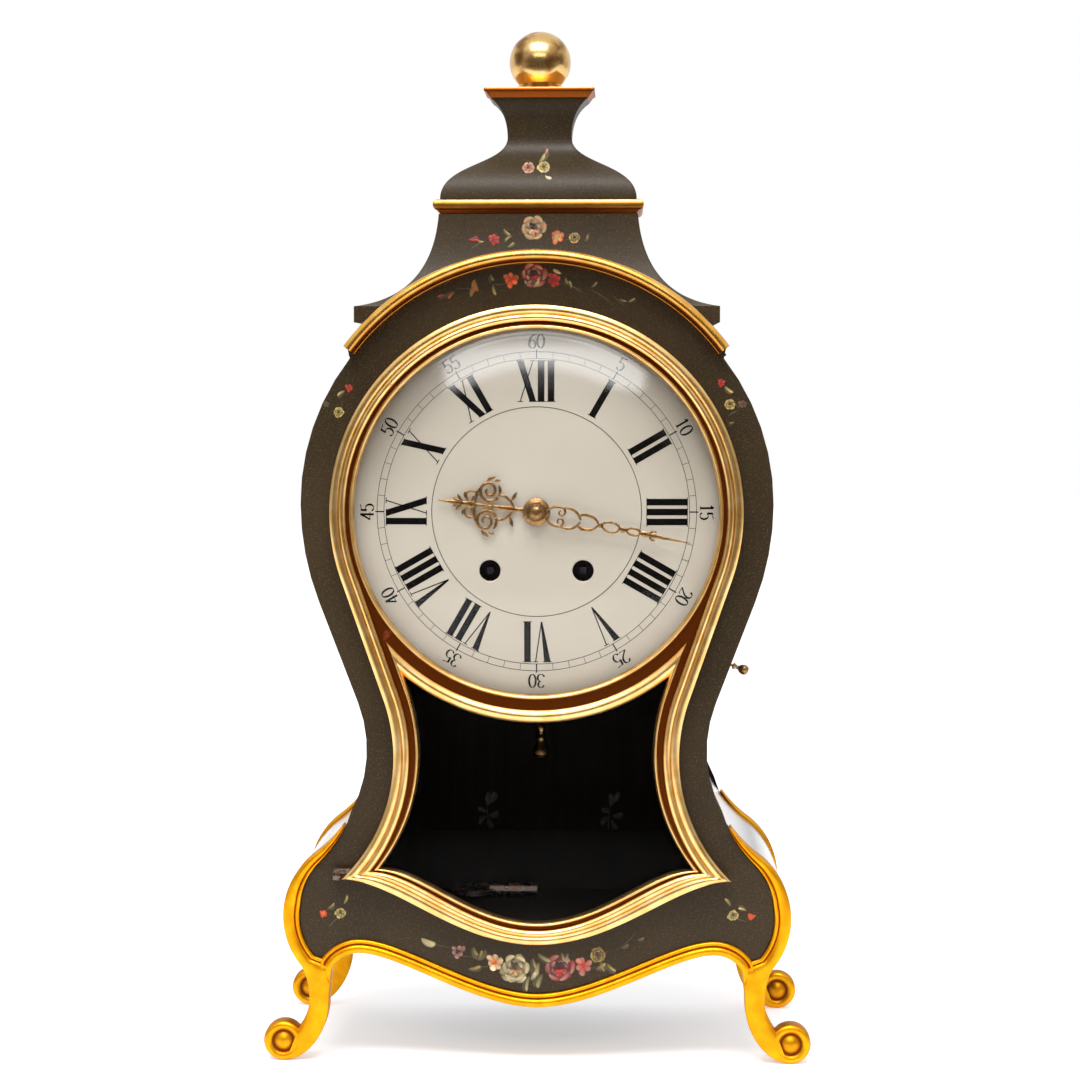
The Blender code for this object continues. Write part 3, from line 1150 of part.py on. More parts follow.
def movement_plates():
    """Two brass plates held apart by pillars, pierced for the pivots; the back one carries the bell post."""
    left, right = -PLATE_HALF_WIDTH, PLATE_HALF_WIDTH
    low, high = DIAL_Z - PLATE_BELOW, DIAL_Z + PLATE_ABOVE
    edge = [(right, low), (right, high), (left, high), (left, low)]
    holes = [ring(place, PIVOT_HOLE, 12) for place in TRAIN_CENTRES]
    wide = [ring(place, WINDING_ARBOR_RADIUS + PIVOT_CLEARANCE, 16) for place in (GOING, STRIKE)]
    front = plate([edge, *holes, *wide], FRONT_PLATE, PLATE_THICKNESS)
    studs = [arbor(MINUTE_STUD, LAYER_HOUR, SPACE_FRONT - FIT - LAYER_HOUR, ARBOR_RADIUS)]
    for place, side in ((GOING, 1), (STRIKE, -1)):
        studs.append(arbor(click_place(place, side), LAYER_RATCHET - FIT, SPACE_FRONT - LAYER_RATCHET,
                           ARBOR_RADIUS))
    part("movement_front_plate", joined(front, *studs), BRASS)

    back = plate([edge, *holes, *wide], BACK_PLATE, PLATE_THICKNESS)
    posts = []
    for x in (left + PILLAR_INSET, right - PILLAR_INSET):
        for z in (low + PILLAR_INSET, high - PILLAR_INSET):
            posts.append(arbor((x, z), SPACE_FRONT + FIT, BACK_PLATE - SPACE_FRONT, PILLAR_RADIUS))
    arm = block((-PILLAR_RADIUS, GONG_Y - PILLAR_RADIUS, high - 2 * PILLAR_RADIUS),
                (PILLAR_RADIUS, BACK_PLATE + FIT, high))
    stand = rod((0, GONG_Y, high - PILLAR_RADIUS), (0, GONG_Y, GONG_TOP_Z + 4 * GONG_WALL),
                GONG_POST_RADIUS, 12)
    part("movement_back_plate", joined(back, *posts, arm, stand), BRASS)


GONG_Y = SPACE_FRONT + PLATE_GAP * 0.55
GONG_TOP_Z = DIAL_Z + GONG_RISE + GONG_HEIGHT


def barrel(name, place, other):
    """Spring barrel: a great wheel with a drum behind it, open at the back."""
    core = ring(place, WINDING_ARBOR_RADIUS + PIVOT_CLEARANCE, 16)
    rim = wheel(place, other, GREAT_TEETH, GREAT_MODULE, LAYER_GREAT, [core])
    drum = plate([ring(place, BARREL_RADIUS, 24), ring(place, BARREL_RADIUS - BARREL_WALL, 24)],
                 LAYER_GREAT + WHEEL_THICKNESS - FIT, BARREL_DEPTH)
    part(name + "_barrel", joined(rim, drum), BRASS, pivot=(place[0], LAYER_GREAT, place[1]))
    outer = BARREL_RADIUS - BARREL_WALL - 2 * FIT
    coils = plate([ring(place, outer, 24), ring(place, outer - SPRING_THICKNESS, 24)],
                  LAYER_GREAT + WHEEL_THICKNESS + FIT, BARREL_DEPTH - 6 * FIT)
    part(name + "_mainspring", coils, BLUED, pivot=(place[0], LAYER_GREAT, place[1]))


def winding_arbor(name, place, side):
    """Barrel arbor with its square in the dial and a ratchet, and the click that holds it."""
    square_front = DIAL_EDGE + DIAL_THICKNESS
    square_half = WINDING_SQUARE_HALF
    shaft_front = LAYER_RATCHET - WHEEL_THICKNESS
    shaft = arbor(place, shaft_front, BACK_PLATE + PLATE_THICKNESS - shaft_front, WINDING_ARBOR_RADIUS, 16)
    square = block((place[0] - square_half, square_front, place[1] - square_half),
                   (place[0] + square_half, LAYER_RATCHET, place[1] + square_half))
    step = 360 / RATCHET_TEETH
    saw = []
    for i in range(RATCHET_TEETH):
        saw.append(polar(place, RATCHET_RADIUS, side * step * i))
        saw.append(polar(place, RATCHET_RADIUS * 0.86, side * (step * i + step * 0.15)))
    ratchet = plate([saw], LAYER_RATCHET, WHEEL_THICKNESS)
    part(name + "_winding_arbor", joined(shaft, square, ratchet), STEEL,
         pivot=(place[0], LAYER_RATCHET, place[1]))
    pivot = click_place(place, side)
    eye = plate([ring(pivot, CLICK_EYE_RADIUS, 14), ring(pivot, PIVOT_HOLE, 12)], LAYER_RATCHET,
                WHEEL_THICKNESS)
    nose = polar(place, RATCHET_RADIUS + 2 * FIT, heading(place, pivot) + side * 46)
    bearing = heading(pivot, nose)
    root = polar(pivot, CLICK_EYE_RADIUS - 2 * FIT, bearing)
    beak = [polar(root, CLICK_BEAK_HALF, bearing - 90), nose, polar(root, CLICK_BEAK_HALF, bearing + 90)]
    beak_plate = plate([beak], LAYER_RATCHET, WHEEL_THICKNESS)
    part(name + "_click", joined(eye, beak_plate), STEEL, pivot=(pivot[0], LAYER_RATCHET, pivot[1]))


def train_wheel(name, place, pieces):
    """Wheels and pinions fixed on one arbor; the fine pins need the manifold solver."""
    shaft = arbor(place, PIVOT_FRONT, PIVOT_LENGTH, ARBOR_RADIUS)
    made = combined("UNION", shaft, pieces, "MANIFOLD")
    part(name, made, BRASS, pivot=(place[0], PIVOT_FRONT, place[1]))


def trains():
    """Both spring barrels and the wheels that they drive."""
    overhang = WHEEL_THICKNESS / 4
    leaf_length = WHEEL_THICKNESS + 2 * overhang
    barrel("going", GOING, INTERMEDIATE)
    barrel("strike", STRIKE, PIN_WHEEL)
    winding_arbor("going", GOING, 1)
    winding_arbor("strike", STRIKE, -1)
    train_wheel("intermediate_wheel", INTERMEDIATE, [
        wheel(INTERMEDIATE, CENTRE, INTERMEDIATE_TEETH, TRAIN_MODULE, LAYER_INTERMEDIATE),
        pinion(INTERMEDIATE, GOING, INTERMEDIATE_LEAVES, GREAT_MODULE, LAYER_GREAT - overhang, leaf_length)])
    centre_front = LAYER_HOUR + WHEEL_THICKNESS / 2
    shaft = arbor(CENTRE, centre_front, BACK_PLATE + PLATE_THICKNESS - FIT - centre_front, ARBOR_RADIUS)
    leaves = pinion(CENTRE, INTERMEDIATE, CENTRE_LEAVES, TRAIN_MODULE, LAYER_INTERMEDIATE - overhang,
                    leaf_length)
    toothed = wheel(CENTRE, THIRD, CENTRE_TEETH, TRAIN_MODULE, LAYER_CENTRE)
    part("center_wheel", joined(shaft, leaves, toothed), BRASS, pivot=(0, LAYER_CENTRE, DIAL_Z))
    train_wheel("third_wheel", THIRD, [
        wheel(THIRD, ESCAPE, THIRD_TEETH, THIRD_MODULE, LAYER_THIRD),
        pinion(THIRD, CENTRE, THIRD_LEAVES, TRAIN_MODULE, LAYER_CENTRE - overhang, leaf_length)])
    step = 360 / ESCAPE_TEETH
    saw = []
    for i in range(ESCAPE_TEETH):
        saw.append(polar(ESCAPE, ESCAPE_RADIUS, step * i))
        saw.append(polar(ESCAPE, ESCAPE_RADIUS * 0.82, step * (i + 0.3)))
    train_wheel("escape_wheel", ESCAPE, [
        plate([saw], LAYER_ESCAPE, WHEEL_THICKNESS),
        pinion(ESCAPE, THIRD, ESCAPE_LEAVES, THIRD_MODULE, LAYER_THIRD - overhang, leaf_length)])
    pin_front = LAYER_PIN_WHEEL - LIFTING_PIN_LENGTH
    pin_length = LIFTING_PIN_LENGTH + WHEEL_THICKNESS / 2
    pins = [arbor(polar(PIN_WHEEL, LIFTING_PIN_CIRCLE, 45 * i), pin_front, pin_length, LIFTING_PIN_RADIUS, 8)
            for i in range(8)]
    train_wheel("pin_wheel", PIN_WHEEL, [
        wheel(PIN_WHEEL, FLY, PIN_WHEEL_TEETH, TRAIN_MODULE, LAYER_PIN_WHEEL),
        pinion(PIN_WHEEL, STRIKE, PIN_WHEEL_LEAVES, GREAT_MODULE, LAYER_GREAT - overhang, leaf_length),
        *pins])
    vane = block((FLY[0] - FLY_HALF_WIDTH, LAYER_THIRD, FLY[1] - FLY_THICKNESS / 2),
                 (FLY[0] + FLY_HALF_WIDTH, LAYER_ESCAPE + 2 * WHEEL_THICKNESS, FLY[1] + FLY_THICKNESS / 2))
    train_wheel("fly", FLY, [
        vane, pinion(FLY, PIN_WHEEL, FLY_LEAVES, TRAIN_MODULE, LAYER_PIN_WHEEL - overhang, leaf_length)])


def striking():
    """Bell on its post, and the hammer that stands just clear of its rim."""
    low = DIAL_Z + GONG_RISE
    lip = [(GONG_POST_RADIUS + FIT, GONG_TOP_Z), (GONG_RADIUS * 0.45, GONG_TOP_Z - GONG_HEIGHT * 0.05),
           (GONG_RADIUS * 0.8, GONG_TOP_Z - GONG_HEIGHT * 0.3),
           (GONG_RADIUS * 0.92, GONG_TOP_Z - GONG_HEIGHT * 0.7),
           (GONG_RADIUS, low)]
    hollow = [(radius - GONG_WALL, z - GONG_WALL * 0.6) for radius, z in reversed(lip[1:-1])]
    profile = lip + [(GONG_RADIUS - GONG_WALL, low)] + hollow
    profile += [(GONG_POST_RADIUS + FIT, GONG_TOP_Z - GONG_WALL), lip[0]]
    part("bell", turned(profile, (0, GONG_Y, 0), 28), BRONZE)

    shaft = arbor(HAMMER, PIVOT_FRONT, PIVOT_LENGTH, ARBOR_RADIUS)
    face_x = -(GONG_RADIUS + HAMMER_CLEARANCE)
    head_x = face_x - HAMMER_HEAD_LENGTH
    head_z = low + HAMMER_HEAD_RADIUS
    stem = rod((HAMMER[0], GONG_Y, HAMMER[1]), ((face_x + head_x) / 2, GONG_Y, head_z),
               HAMMER_STEM_RADIUS, 10)
    head = rod((head_x, GONG_Y, head_z), (face_x, GONG_Y, head_z), HAMMER_HEAD_RADIUS, 14)
    part("hammer", joined(shaft, stem, head), STEEL, pivot=(HAMMER[0], GONG_Y, HAMMER[1]))


# Escapement and pendulum
def pendulum():
    """Anchor with its crutch, and a short pendulum that hangs behind the movement."""
    swing = holder("pendulum_axis", (ANCHOR[0], FRONT + PENDULUM_SETBACK, ANCHOR[1]))
    x, z = ANCHOR
    hang_y = FRONT + PENDULUM_SETBACK
    crutch_front = BACK_PLATE + PLATE_THICKNESS + CRUTCH_SETBACK
    crutch_back = crutch_front + CRUTCH_THICKNESS
    shaft = arbor(ANCHOR, PIVOT_FRONT, crutch_back - PIVOT_FRONT, ARBOR_RADIUS)
    reach = math.degrees(math.acos(ESCAPE_RADIUS / ESCAPE_DISTANCE))
    middle_y = LAYER_ESCAPE + WHEEL_THICKNESS / 2
    arms = []
    for side in (-1, 1):
        tip = polar(ESCAPE, ESCAPE_RADIUS + PALLET_GAP, ESCAPE_DEG + 180 + side * reach)
        arms.append(rod((x, middle_y, z), (tip[0], middle_y, tip[1]), PALLET_ARM_RADIUS, 8))
    low = z - CRUTCH_LENGTH
    wide = CRUTCH_HALF_WIDTH
    crutch = block((x - wide, crutch_front, low), (x + wide, crutch_back, z))
    beside = x + PENDULUM_ROD_RADIUS + FIT + CRUTCH_PIN_RADIUS
    pin = rod((beside, crutch_front + FIT, low + wide), (beside, hang_y + 2 * HOOK_HALF, low + wide),
              CRUTCH_PIN_RADIUS, 8)
    bridge = block((x, crutch_front, low), (beside + wide, crutch_back, low + 2 * wide))
    part("anchor", joined(shaft, *arms, crutch, bridge, pin), STEEL, carrier=swing)
    hook = block((x - HOOK_HALF, hang_y - HOOK_HALF, z - 4 * HOOK_HALF),
                 (x + HOOK_HALF, hang_y + HOOK_HALF, z + FIT))
    stem = rod((x, hang_y, BOB_TOP_Z + FIT), (x, hang_y, z - 3 * HOOK_HALF), PENDULUM_ROD_RADIUS, 10)
    part("pendulum_rod", joined(hook, stem), STEEL, carrier=swing)
    height = BOB_TOP_Z - BOB_BOTTOM_Z
    shares = [(0, 1), (0.3, 1), (0.5, 0.86), (0.34, 0.7), (0.6, 0.5), (0.85, 0.25), (1, 0.12), (0.9, 0),
              (0, 0)]
    profile = [(BOB_RADIUS * radius, BOB_BOTTOM_Z + height * rise) for radius, rise in shares]
    part("pendulum_bob", turned(profile, (0, hang_y, 0), 20), BRONZE, carrier=swing)
    plate_back = BACK_PLATE + PLATE_THICKNESS + FIT
    low = z + COCK_RISE
    wide = COCK_HALF_WIDTH
    cock = block((x - wide, plate_back, low), (x + wide, hang_y + 2 * HOOK_HALF, low + COCK_HEIGHT))
    leg = block((x - wide, plate_back, low),
                (x + wide, plate_back + PLATE_THICKNESS / 2, low + 2 * COCK_HEIGHT))
    part("pendulum_cock", joined(cock, leg), BRASS)


# Pull and key
def repeat_pull():
    """Turned knob on a wire through the right side, which lets the clock strike again."""
    wire = rod(along_pull(-PULL_INSIDE), along_pull(PULL_OUTSIDE - PULL_KNOB_RADIUS), PULL_ROD_RADIUS, 10)
    knob = rod(along_pull(PULL_OUTSIDE - 2 * PULL_KNOB_RADIUS), along_pull(PULL_OUTSIDE),
               PULL_KNOB_RADIUS * 0.7, 14,
               PULL_KNOB_RADIUS)
    start = SIDE_THICKNESS + PULL_STOP
    stop = rod(along_pull(-start - PULL_KNOB_RADIUS), along_pull(-start), PULL_ROD_RADIUS * 3, 12)
    part("repeat_pull", joined(wire, knob, stop), BRASS, pivot=along_pull(0))


def winding_key():
    """Winding key that lies at the back of the case floor."""
    y = FRAME_FRONT - KEY_FROM_BACK
    z = FLOOR_TOP_Z + FIT + KEY_BARREL_RADIUS
    barrel_length = KEY_LENGTH * 0.56
    right = -KEY_FROM_MIDDLE
    left = right - KEY_LENGTH
    pipe = rod((right - barrel_length, y, z), (right, y, z), KEY_BARREL_RADIUS, 16)
    half = KEY_BOW_THICKNESS / 2
    wing_x = (left + right - barrel_length) / 2 + half
    wing_reach = (right - barrel_length - left) / 2 + half
    wings = rod((wing_x, y, z - half), (wing_x, y, z + half), wing_reach, 20)
    wings.data.transform(Matrix.Translation((0, y, 0)) @ Matrix.Diagonal((1, KEY_BOW_HALF / wing_reach, 1, 1))
                         @ Matrix.Translation((0, -y, 0)))
    socket_half = WINDING_SQUARE_HALF + FIT
    socket = block((right - barrel_length / 2, y - socket_half, z - socket_half),
                   (right + half, y + socket_half, z + socket_half))
    part("winding_key", cut(joined(pipe, wings), socket), BRONZE)


front_board()
back_frame()
case_wrap()
case_floors()
mouldings()
feet()
crown()
front_door()
back_door()
dial()
motion_work()
movement_plates()
trains()
striking()
pendulum()
repeat_pull()
winding_key()
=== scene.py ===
"""Looks of the waisted bracket clock: painted lacquer, gilt mouldings, glazed door, enamel dial, movement."""

import bmesh
import bpy
import numpy as np
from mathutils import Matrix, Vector


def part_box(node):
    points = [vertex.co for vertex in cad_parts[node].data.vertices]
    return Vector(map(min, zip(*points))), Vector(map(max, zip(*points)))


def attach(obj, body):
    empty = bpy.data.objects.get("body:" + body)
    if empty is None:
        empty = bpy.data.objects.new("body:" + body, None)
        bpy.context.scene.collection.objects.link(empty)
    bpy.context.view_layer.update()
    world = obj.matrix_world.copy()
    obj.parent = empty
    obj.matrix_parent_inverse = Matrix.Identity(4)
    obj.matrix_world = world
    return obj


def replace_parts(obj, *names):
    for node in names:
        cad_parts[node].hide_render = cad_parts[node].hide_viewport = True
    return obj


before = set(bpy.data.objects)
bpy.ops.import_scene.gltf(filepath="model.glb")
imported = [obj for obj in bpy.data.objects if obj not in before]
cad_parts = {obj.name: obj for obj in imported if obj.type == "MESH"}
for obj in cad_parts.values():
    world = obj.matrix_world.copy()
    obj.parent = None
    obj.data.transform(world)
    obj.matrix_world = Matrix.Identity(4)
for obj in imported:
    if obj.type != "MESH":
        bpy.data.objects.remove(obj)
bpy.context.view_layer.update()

# Studio: the clock stands on a white table in a bright tent, a little below the eye.
# Large soft lamps hang above and to both sides, and the room behind the camera is darker.
camera_lens = bpy.data.cameras.new("camera")
camera_lens.lens = 86.86
camera_lens.sensor_width = 36
camera = bpy.data.objects.new("camera", camera_lens)
camera.location = (0.0421, -1.368, 0.3498)
looked_at = Vector((0.0018, -0.058, 0.2666))
camera.rotation_euler = (looked_at - camera.location).to_track_quat("-Z", "Y").to_euler()
bpy.context.scene.collection.objects.link(camera)
bpy.context.scene.camera = camera
bpy.context.scene.view_settings.view_transform = "Standard"


def feed(socket, value):
    """Links a wire to a socket, or sets a plain value on it."""
    if isinstance(value, Wire):
        socket.id_data.links.new(value.socket, socket)
    else:
        socket.default_value = value


class Wire:
    """A shader socket: sums, differences and products of wires and numbers add Math nodes."""

    def __init__(self, socket):
        self.socket = socket

    def node(self, kind, settings, sockets, output=0):
        """A new node of a type: first its settings, then the values or links of its sockets."""
        made = self.socket.id_data.nodes.new(kind)
        for name, value in settings.items():
            setattr(made, name, value)
        for name, value in sockets.items():
            feed(made.inputs[name], value)
        return Wire(made.outputs[output])

    def maths(self, operation, first, second):
        """A Math node on two values."""
        return self.node("ShaderNodeMath", {"operation": operation}, {0: first, 1: second})

    def __add__(self, other):
        return self.maths("ADD", self, other)

    def __radd__(self, other):
        return self.maths("ADD", other, self)

    def __sub__(self, other):
        return self.maths("SUBTRACT", self, other)

    def __rsub__(self, other):
        return self.maths("SUBTRACT", other, self)

    def __mul__(self, other):
        return self.maths("MULTIPLY", self, other)

    def __rmul__(self, other):
        return self.maths("MULTIPLY", other, self)


def shade(red, green, blue):
    """A colour as it looks on a screen, 0 to 255, turned into the light that a shader works with."""
    shown = np.array([red, green, blue]) / 255
    light = np.where(shown > 0.04045, ((shown + 0.055) / 1.055) ** 2.4, shown / 12.92)
    return (*light.tolist(), 1.0)


def grain(place, scale, detail=2.0):
    """Noise of a scale, in features per metre."""
    sockets = {"Vector": place, "Scale": scale, "Detail": detail}
    return place.node("ShaderNodeTexNoise", {}, sockets, "Fac")


def rising(value, low, high):
    """0 below low, 1 above high, a smooth step between them."""
    sockets = {"Value": value, "From Min": low, "From Max": high}
    return value.node("ShaderNodeMapRange", {"interpolation_type": "SMOOTHSTEP"}, sockets, "Result")


def mixed(share, first, second):
    """One colour turning into another as the share goes from 0 to 1."""
    return share.node("ShaderNodeMix", {"data_type": "RGBA"}, {0: share, 6: first, 7: second}, 2)


def finish(name, metallic=0.0):
    """A material with the sockets of its Principled shader and a wire of object coordinates."""
    made = bpy.data.materials.new(name)
    made.use_nodes = True
    shader = made.node_tree.nodes["Principled BSDF"]
    shader.inputs["Metallic"].default_value = metallic
    place = Wire(made.node_tree.nodes.new("ShaderNodeTexCoord").outputs["Object"])
    return made, shader.inputs, place


def skin(points, closed=(False, False), tint=0.0):
    """Vertices, quads and tints of a grid of points.

    Rows run along the first parameter, columns along the second.
    """
    rows, columns = points.shape[:2]
    index = np.arange(rows * columns).reshape(rows, columns)
    if closed[0]:
        index = np.vstack([index, index[:1]])
    if closed[1]:
        index = np.hstack([index, index[:, :1]])
    corners = [index[:-1, :-1], index[1:, :-1], index[1:, 1:], index[:-1, 1:]]
    quads = np.stack(corners, axis=-1).reshape(-1, 4)
    return points.reshape(-1, 3), quads, np.broadcast_to(tint, (rows, columns, 4)).reshape(-1, 4)


def piece(name, skins, material, sharp=35, solid=True):
    """One mesh object from several skins: welded, its open ends closed and its faces turned outwards."""
    starts = np.cumsum([0] + [len(points) for points, _, _ in skins])[:-1]
    points = np.concatenate([points for points, _, _ in skins])
    faces = np.concatenate([np.where(quads < 0, -1, quads + start)
                            for (_, quads, _), start in zip(skins, starts)])
    tints = np.concatenate([tint for _, _, tint in skins])
    mesh = bpy.data.meshes.new(name)
    threes, fours = faces[faces[:, 3] < 0, :3], faces[faces[:, 3] >= 0]
    mesh.from_pydata(points.tolist(), [], threes.tolist() + fours.tolist())
    colour = mesh.attributes.new("tint", "FLOAT_COLOR", "POINT")
    colour.data.foreach_set("color", tints.astype(np.float32).ravel())
    shape = bmesh.new()
    shape.from_mesh(mesh)
    weld_distance = 1e-6
    bmesh.ops.remove_doubles(shape, verts=shape.verts, dist=weld_distance)
    if solid:
        open_edges = [edge for edge in shape.edges if edge.is_boundary]
        bmesh.ops.holes_fill(shape, edges=open_edges, sides=0)
        bmesh.ops.recalc_face_normals(shape, faces=shape.faces)
    shape.to_mesh(mesh)
    shape.free()
    mesh.shade_smooth()
    mesh.set_sharp_from_angle(angle=np.radians(sharp))
    mesh.materials.append(material)
    made = bpy.data.objects.new(name, mesh)
    bpy.context.scene.collection.objects.link(made)
    return made


table, inputs, place = finish("table_white")
feed(inputs["Base Color"], mixed(grain(place, 3), shade(238, 238, 238), shade(244, 244, 244)))
inputs["Roughness"].default_value = 0.6
camera_ray = Wire(table.node_tree.nodes.new("ShaderNodeLightPath").outputs["Is Camera Ray"])
glossy_ray = Wire(camera_ray.socket.node.outputs["Is Glossy Ray"])
through_ray = Wire(camera_ray.socket.node.outputs["Is Transmission Ray"])
seen = camera_ray.maths("MINIMUM", camera_ray + glossy_ray + through_ray, 1.0)
unlit, glow = (0, 0, 0, 1), (0.42, 0.42, 0.42, 1)
feed(inputs["Emission Color"], mixed(seen, unlit, glow))
inputs["Emission Strength"].default_value = 1.0
table_edge, table_front, table_drop = 6.0, -0.7, 0.0003
across, along = np.meshgrid(np.linspace(-table_edge, table_edge, 25),
                            np.linspace(table_front, table_edge, 25), indexing="ij")
sheet = np.stack([across, along, 0 * across - table_drop], axis=-1)
floor = piece("floor", [skin(sheet)], table, solid=False)

world = bpy.data.worlds.new("studio")
bpy.context.scene.world = world
world.use_nodes = True
sky = world.node_tree.nodes["Background"].inputs
camera_ray = Wire(world.node_tree.nodes.new("ShaderNodeLightPath").outputs["Is Camera Ray"])
through_ray = Wire(camera_ray.socket.node.outputs["Is Transmission Ray"])
direction = Wire(world.node_tree.nodes.new("ShaderNodeTexCoord").outputs["Generated"])
backward = direction.node("ShaderNodeSeparateXYZ", {}, {0: direction}, "Y")
upward = Wire(backward.socket.node.outputs["Z"])
bright = direction.maths("MAXIMUM", rising(backward, -0.05, 0.6), rising(upward, 0.25, 0.65))
tent = mixed(bright, shade(100, 94, 88), shade(244, 244, 246))
seen = camera_ray.maths("MINIMUM", camera_ray + through_ray, 1.0)
feed(sky["Color"], mixed(seen, tent, (1, 1, 1, 1)))
sky["Strength"].default_value = 1.0


def lamp(name, place, aim_at, size, power):
    """A rectangular soft lamp that shines from one place towards another."""
    light = bpy.data.lights.new(name, "AREA")
    light.shape = "RECTANGLE"
    light.size, light.size_y = size
    light.energy = power
    made = bpy.data.objects.new(name, light)
    made.location = place
    made.rotation_euler = (Vector(aim_at) - Vector(place)).to_track_quat("-Z", "Y").to_euler()
    bpy.context.scene.collection.objects.link(made)


lamp("lamp_above", (-0.1, -0.82, 1.85), (0, 0, 0.28), (1.4, 0.7), 33)
lamp("lamp_front", (0.0, -1.95, 1.36), (0, 0, 0.3), (1.7, 0.36), 5)
lamp("lamp_left", (-1.5, -0.9, 0.7), (0, 0, 0.26), (0.9, 1.2), 1.4)
lamp("lamp_right", (1.55, -0.8, 0.7), (0, 0, 0.26), (0.9, 1.2), 1.0)

# Case: a flat front board with bent sides and a bent roof behind it, all limewood.
# Outside they carry a dark olive lacquer, stippled and rubbed down to a soft sheen.
# The sides have a clear polish over it.
MM = 0.001
front_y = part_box("front_board")[0].y
board_back_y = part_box("front_board")[1].y
knee_z, knee_half, knee_radius = 74.2 * MM, 129.3 * MM, 40 * MM
waist_half, waist_radius = 86.2 * MM, 67 * MM
case_radius, flank_radius, shoulder_deg = 119.2 * MM, 138.6 * MM, 38
side_reveal, panel_thickness = 1.5 * MM, 5 * MM
waist_x = waist_half + waist_radius
knee_x = knee_half - knee_radius
knee_rise = np.sqrt((waist_radius + knee_radius) ** 2 - (waist_x - knee_x) ** 2)
waist_z = knee_z + knee_rise
case_z = waist_z + 124.5 * MM
arch_z, arch_radius = case_z + 6.9 * MM, 120.9 * MM
roof_radius, roof_start, roof_end = arch_radius - 1.9 * MM, 35.5, 144.5
flank_x = case_radius - flank_radius


def dented(height, depth):
    """Normals of a surface that rises by depth, in metres, where the height is 1."""
    sockets = {"Height": height, "Strength": 1.0, "Distance": depth}
    return height.node("ShaderNodeBump", {}, sockets, "Normal")


def stretched(place, factors):
    """A place with its three directions multiplied by factors: a small one draws a pattern out that way."""
    return place.node("ShaderNodeVectorMath", {"operation": "MULTIPLY"}, {0: place, 1: factors})


def dressed(material, *nodes):
    """Gives solids of the frame, whose shape stays, a finish."""
    for node in nodes:
        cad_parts[node].data.materials.clear()
        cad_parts[node].data.materials.append(material)


def lacquered(name, polish):
    """Olive lacquer: clouded, stippled and streaked, under a clear polish of some weight."""
    made, inputs, place = finish(name)
    cloud = grain(place, 14, 4)
    stipple = grain(place, 1400, 2)
    streak = grain(stretched(place, (1, 1, 0.25)), 120, 3)
    ground = mixed(rising(cloud, 0.3, 0.72), shade(49, 38, 22), shade(60, 47, 29))
    ground = mixed(rising(stipple, 0.52, 0.78) * 0.7, ground, shade(98, 81, 50))
    ground = mixed(rising(streak, 0.6, 0.8) * 0.3, ground, shade(38, 31, 20))
    feed(inputs["Base Color"], ground)
    feed(inputs["Roughness"], 0.36 + 0.16 * cloud)
    feed(inputs["Normal"], dented(stipple, 0.00008))
    inputs["Specular IOR Level"].default_value = 0.25
    inputs["Coat Weight"].default_value = polish
    inputs["Coat Roughness"].default_value = 0.12
    return made


lacquer = lacquered("olive_lacquer", 0.0)
side_lacquer = lacquered("polished_lacquer", 1.0)


def oval(centre, wide, tall, degrees):
    """Points on an oval in the X-Z plane: centre + half width x cosine, half height x sine of the angle."""
    turn = np.radians(degrees)
    return np.stack([centre[0] + wide * np.cos(turn), centre[1] + tall * np.sin(turn)], axis=-1)


def arc(centre, radius, start, end, steps):
    """Points on a circle from one angle to another, in degrees.

    Columns of radii and of end angles give one arc for each row.
    """
    share = np.linspace(0, 1, steps + 1)
    return oval(centre, radius, radius, share * (np.asarray(end) - start) + start)


def crossing(centre_a, radius_a, centre_b, radius_b):
    """Angle in degrees at which a straight line leaves one circle to touch the other on its far side."""
    gap = np.subtract(centre_b, centre_a)
    return np.degrees(np.arctan2(gap[1], gap[0]) + np.arccos((radius_a + radius_b) / np.hypot(*gap)))


flank_deg = crossing((flank_x, case_z), flank_radius, (waist_x, waist_z), waist_radius)
knee_deg = np.degrees(np.arctan2(knee_rise, waist_x - knee_x))


def case_side(inset, low_deg):
    """Edge of the case from the shoulder to the knee, moved in by an inset: four arcs, one after another."""
    return np.concatenate([
        arc((0, case_z), case_radius - inset, shoulder_deg, 0, 30),
        arc((flank_x, case_z), flank_radius - inset, 0, flank_deg, 14)[1:],
        arc((waist_x, waist_z), waist_radius + inset, 180 + flank_deg, 180 + knee_deg, 40),
        arc((knee_x, knee_z), knee_radius - inset, knee_deg, low_deg, 30)[1:]])


def at_depth(flat, depth):
    """Points of a flat grid of x and z, set at one depth or at a depth for each point."""
    return np.stack([flat[..., 0], np.broadcast_to(depth, flat.shape[:-1]), flat[..., 1]], axis=-1)


def walled(outer, inner, front, back):
    """A bent board: depth is the first parameter, and the second runs round its two edges."""
    loop = np.concatenate([outer, inner[::-1]])
    return skin(at_depth(np.stack([loop, loop]), [[front], [back]]), (False, True))


side_front, side_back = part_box("side_panel_left")[0].y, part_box("side_panel_left")[1].y
side_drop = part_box("bottom_board")[0].z - knee_z
side_low_deg = np.degrees(np.arcsin(side_drop / (knee_radius - side_reveal)))
outside = case_side(side_reveal, side_low_deg)
inside = case_side(side_reveal + panel_thickness, side_low_deg)
for hand, sign in (("left", -1), ("right", 1)):
    bent = walled(outside * (sign, 1), inside * (sign, 1), side_front, side_back)
    board = piece("case_side_" + hand, [bent], side_lacquer)
    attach(board, "case")
    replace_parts(board, "side_panel_" + hand)
roof_over = arc((0, arch_z), roof_radius - side_reveal, roof_start, roof_end, 90)
roof_under = arc((0, arch_z), roof_radius - side_reveal - panel_thickness, roof_start, roof_end, 90)
roof = piece("case_roof", [walled(roof_over, roof_under, side_front, side_back)], lacquer)
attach(roof, "case")
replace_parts(roof, "roof_panel")
dressed(lacquer, "front_board")

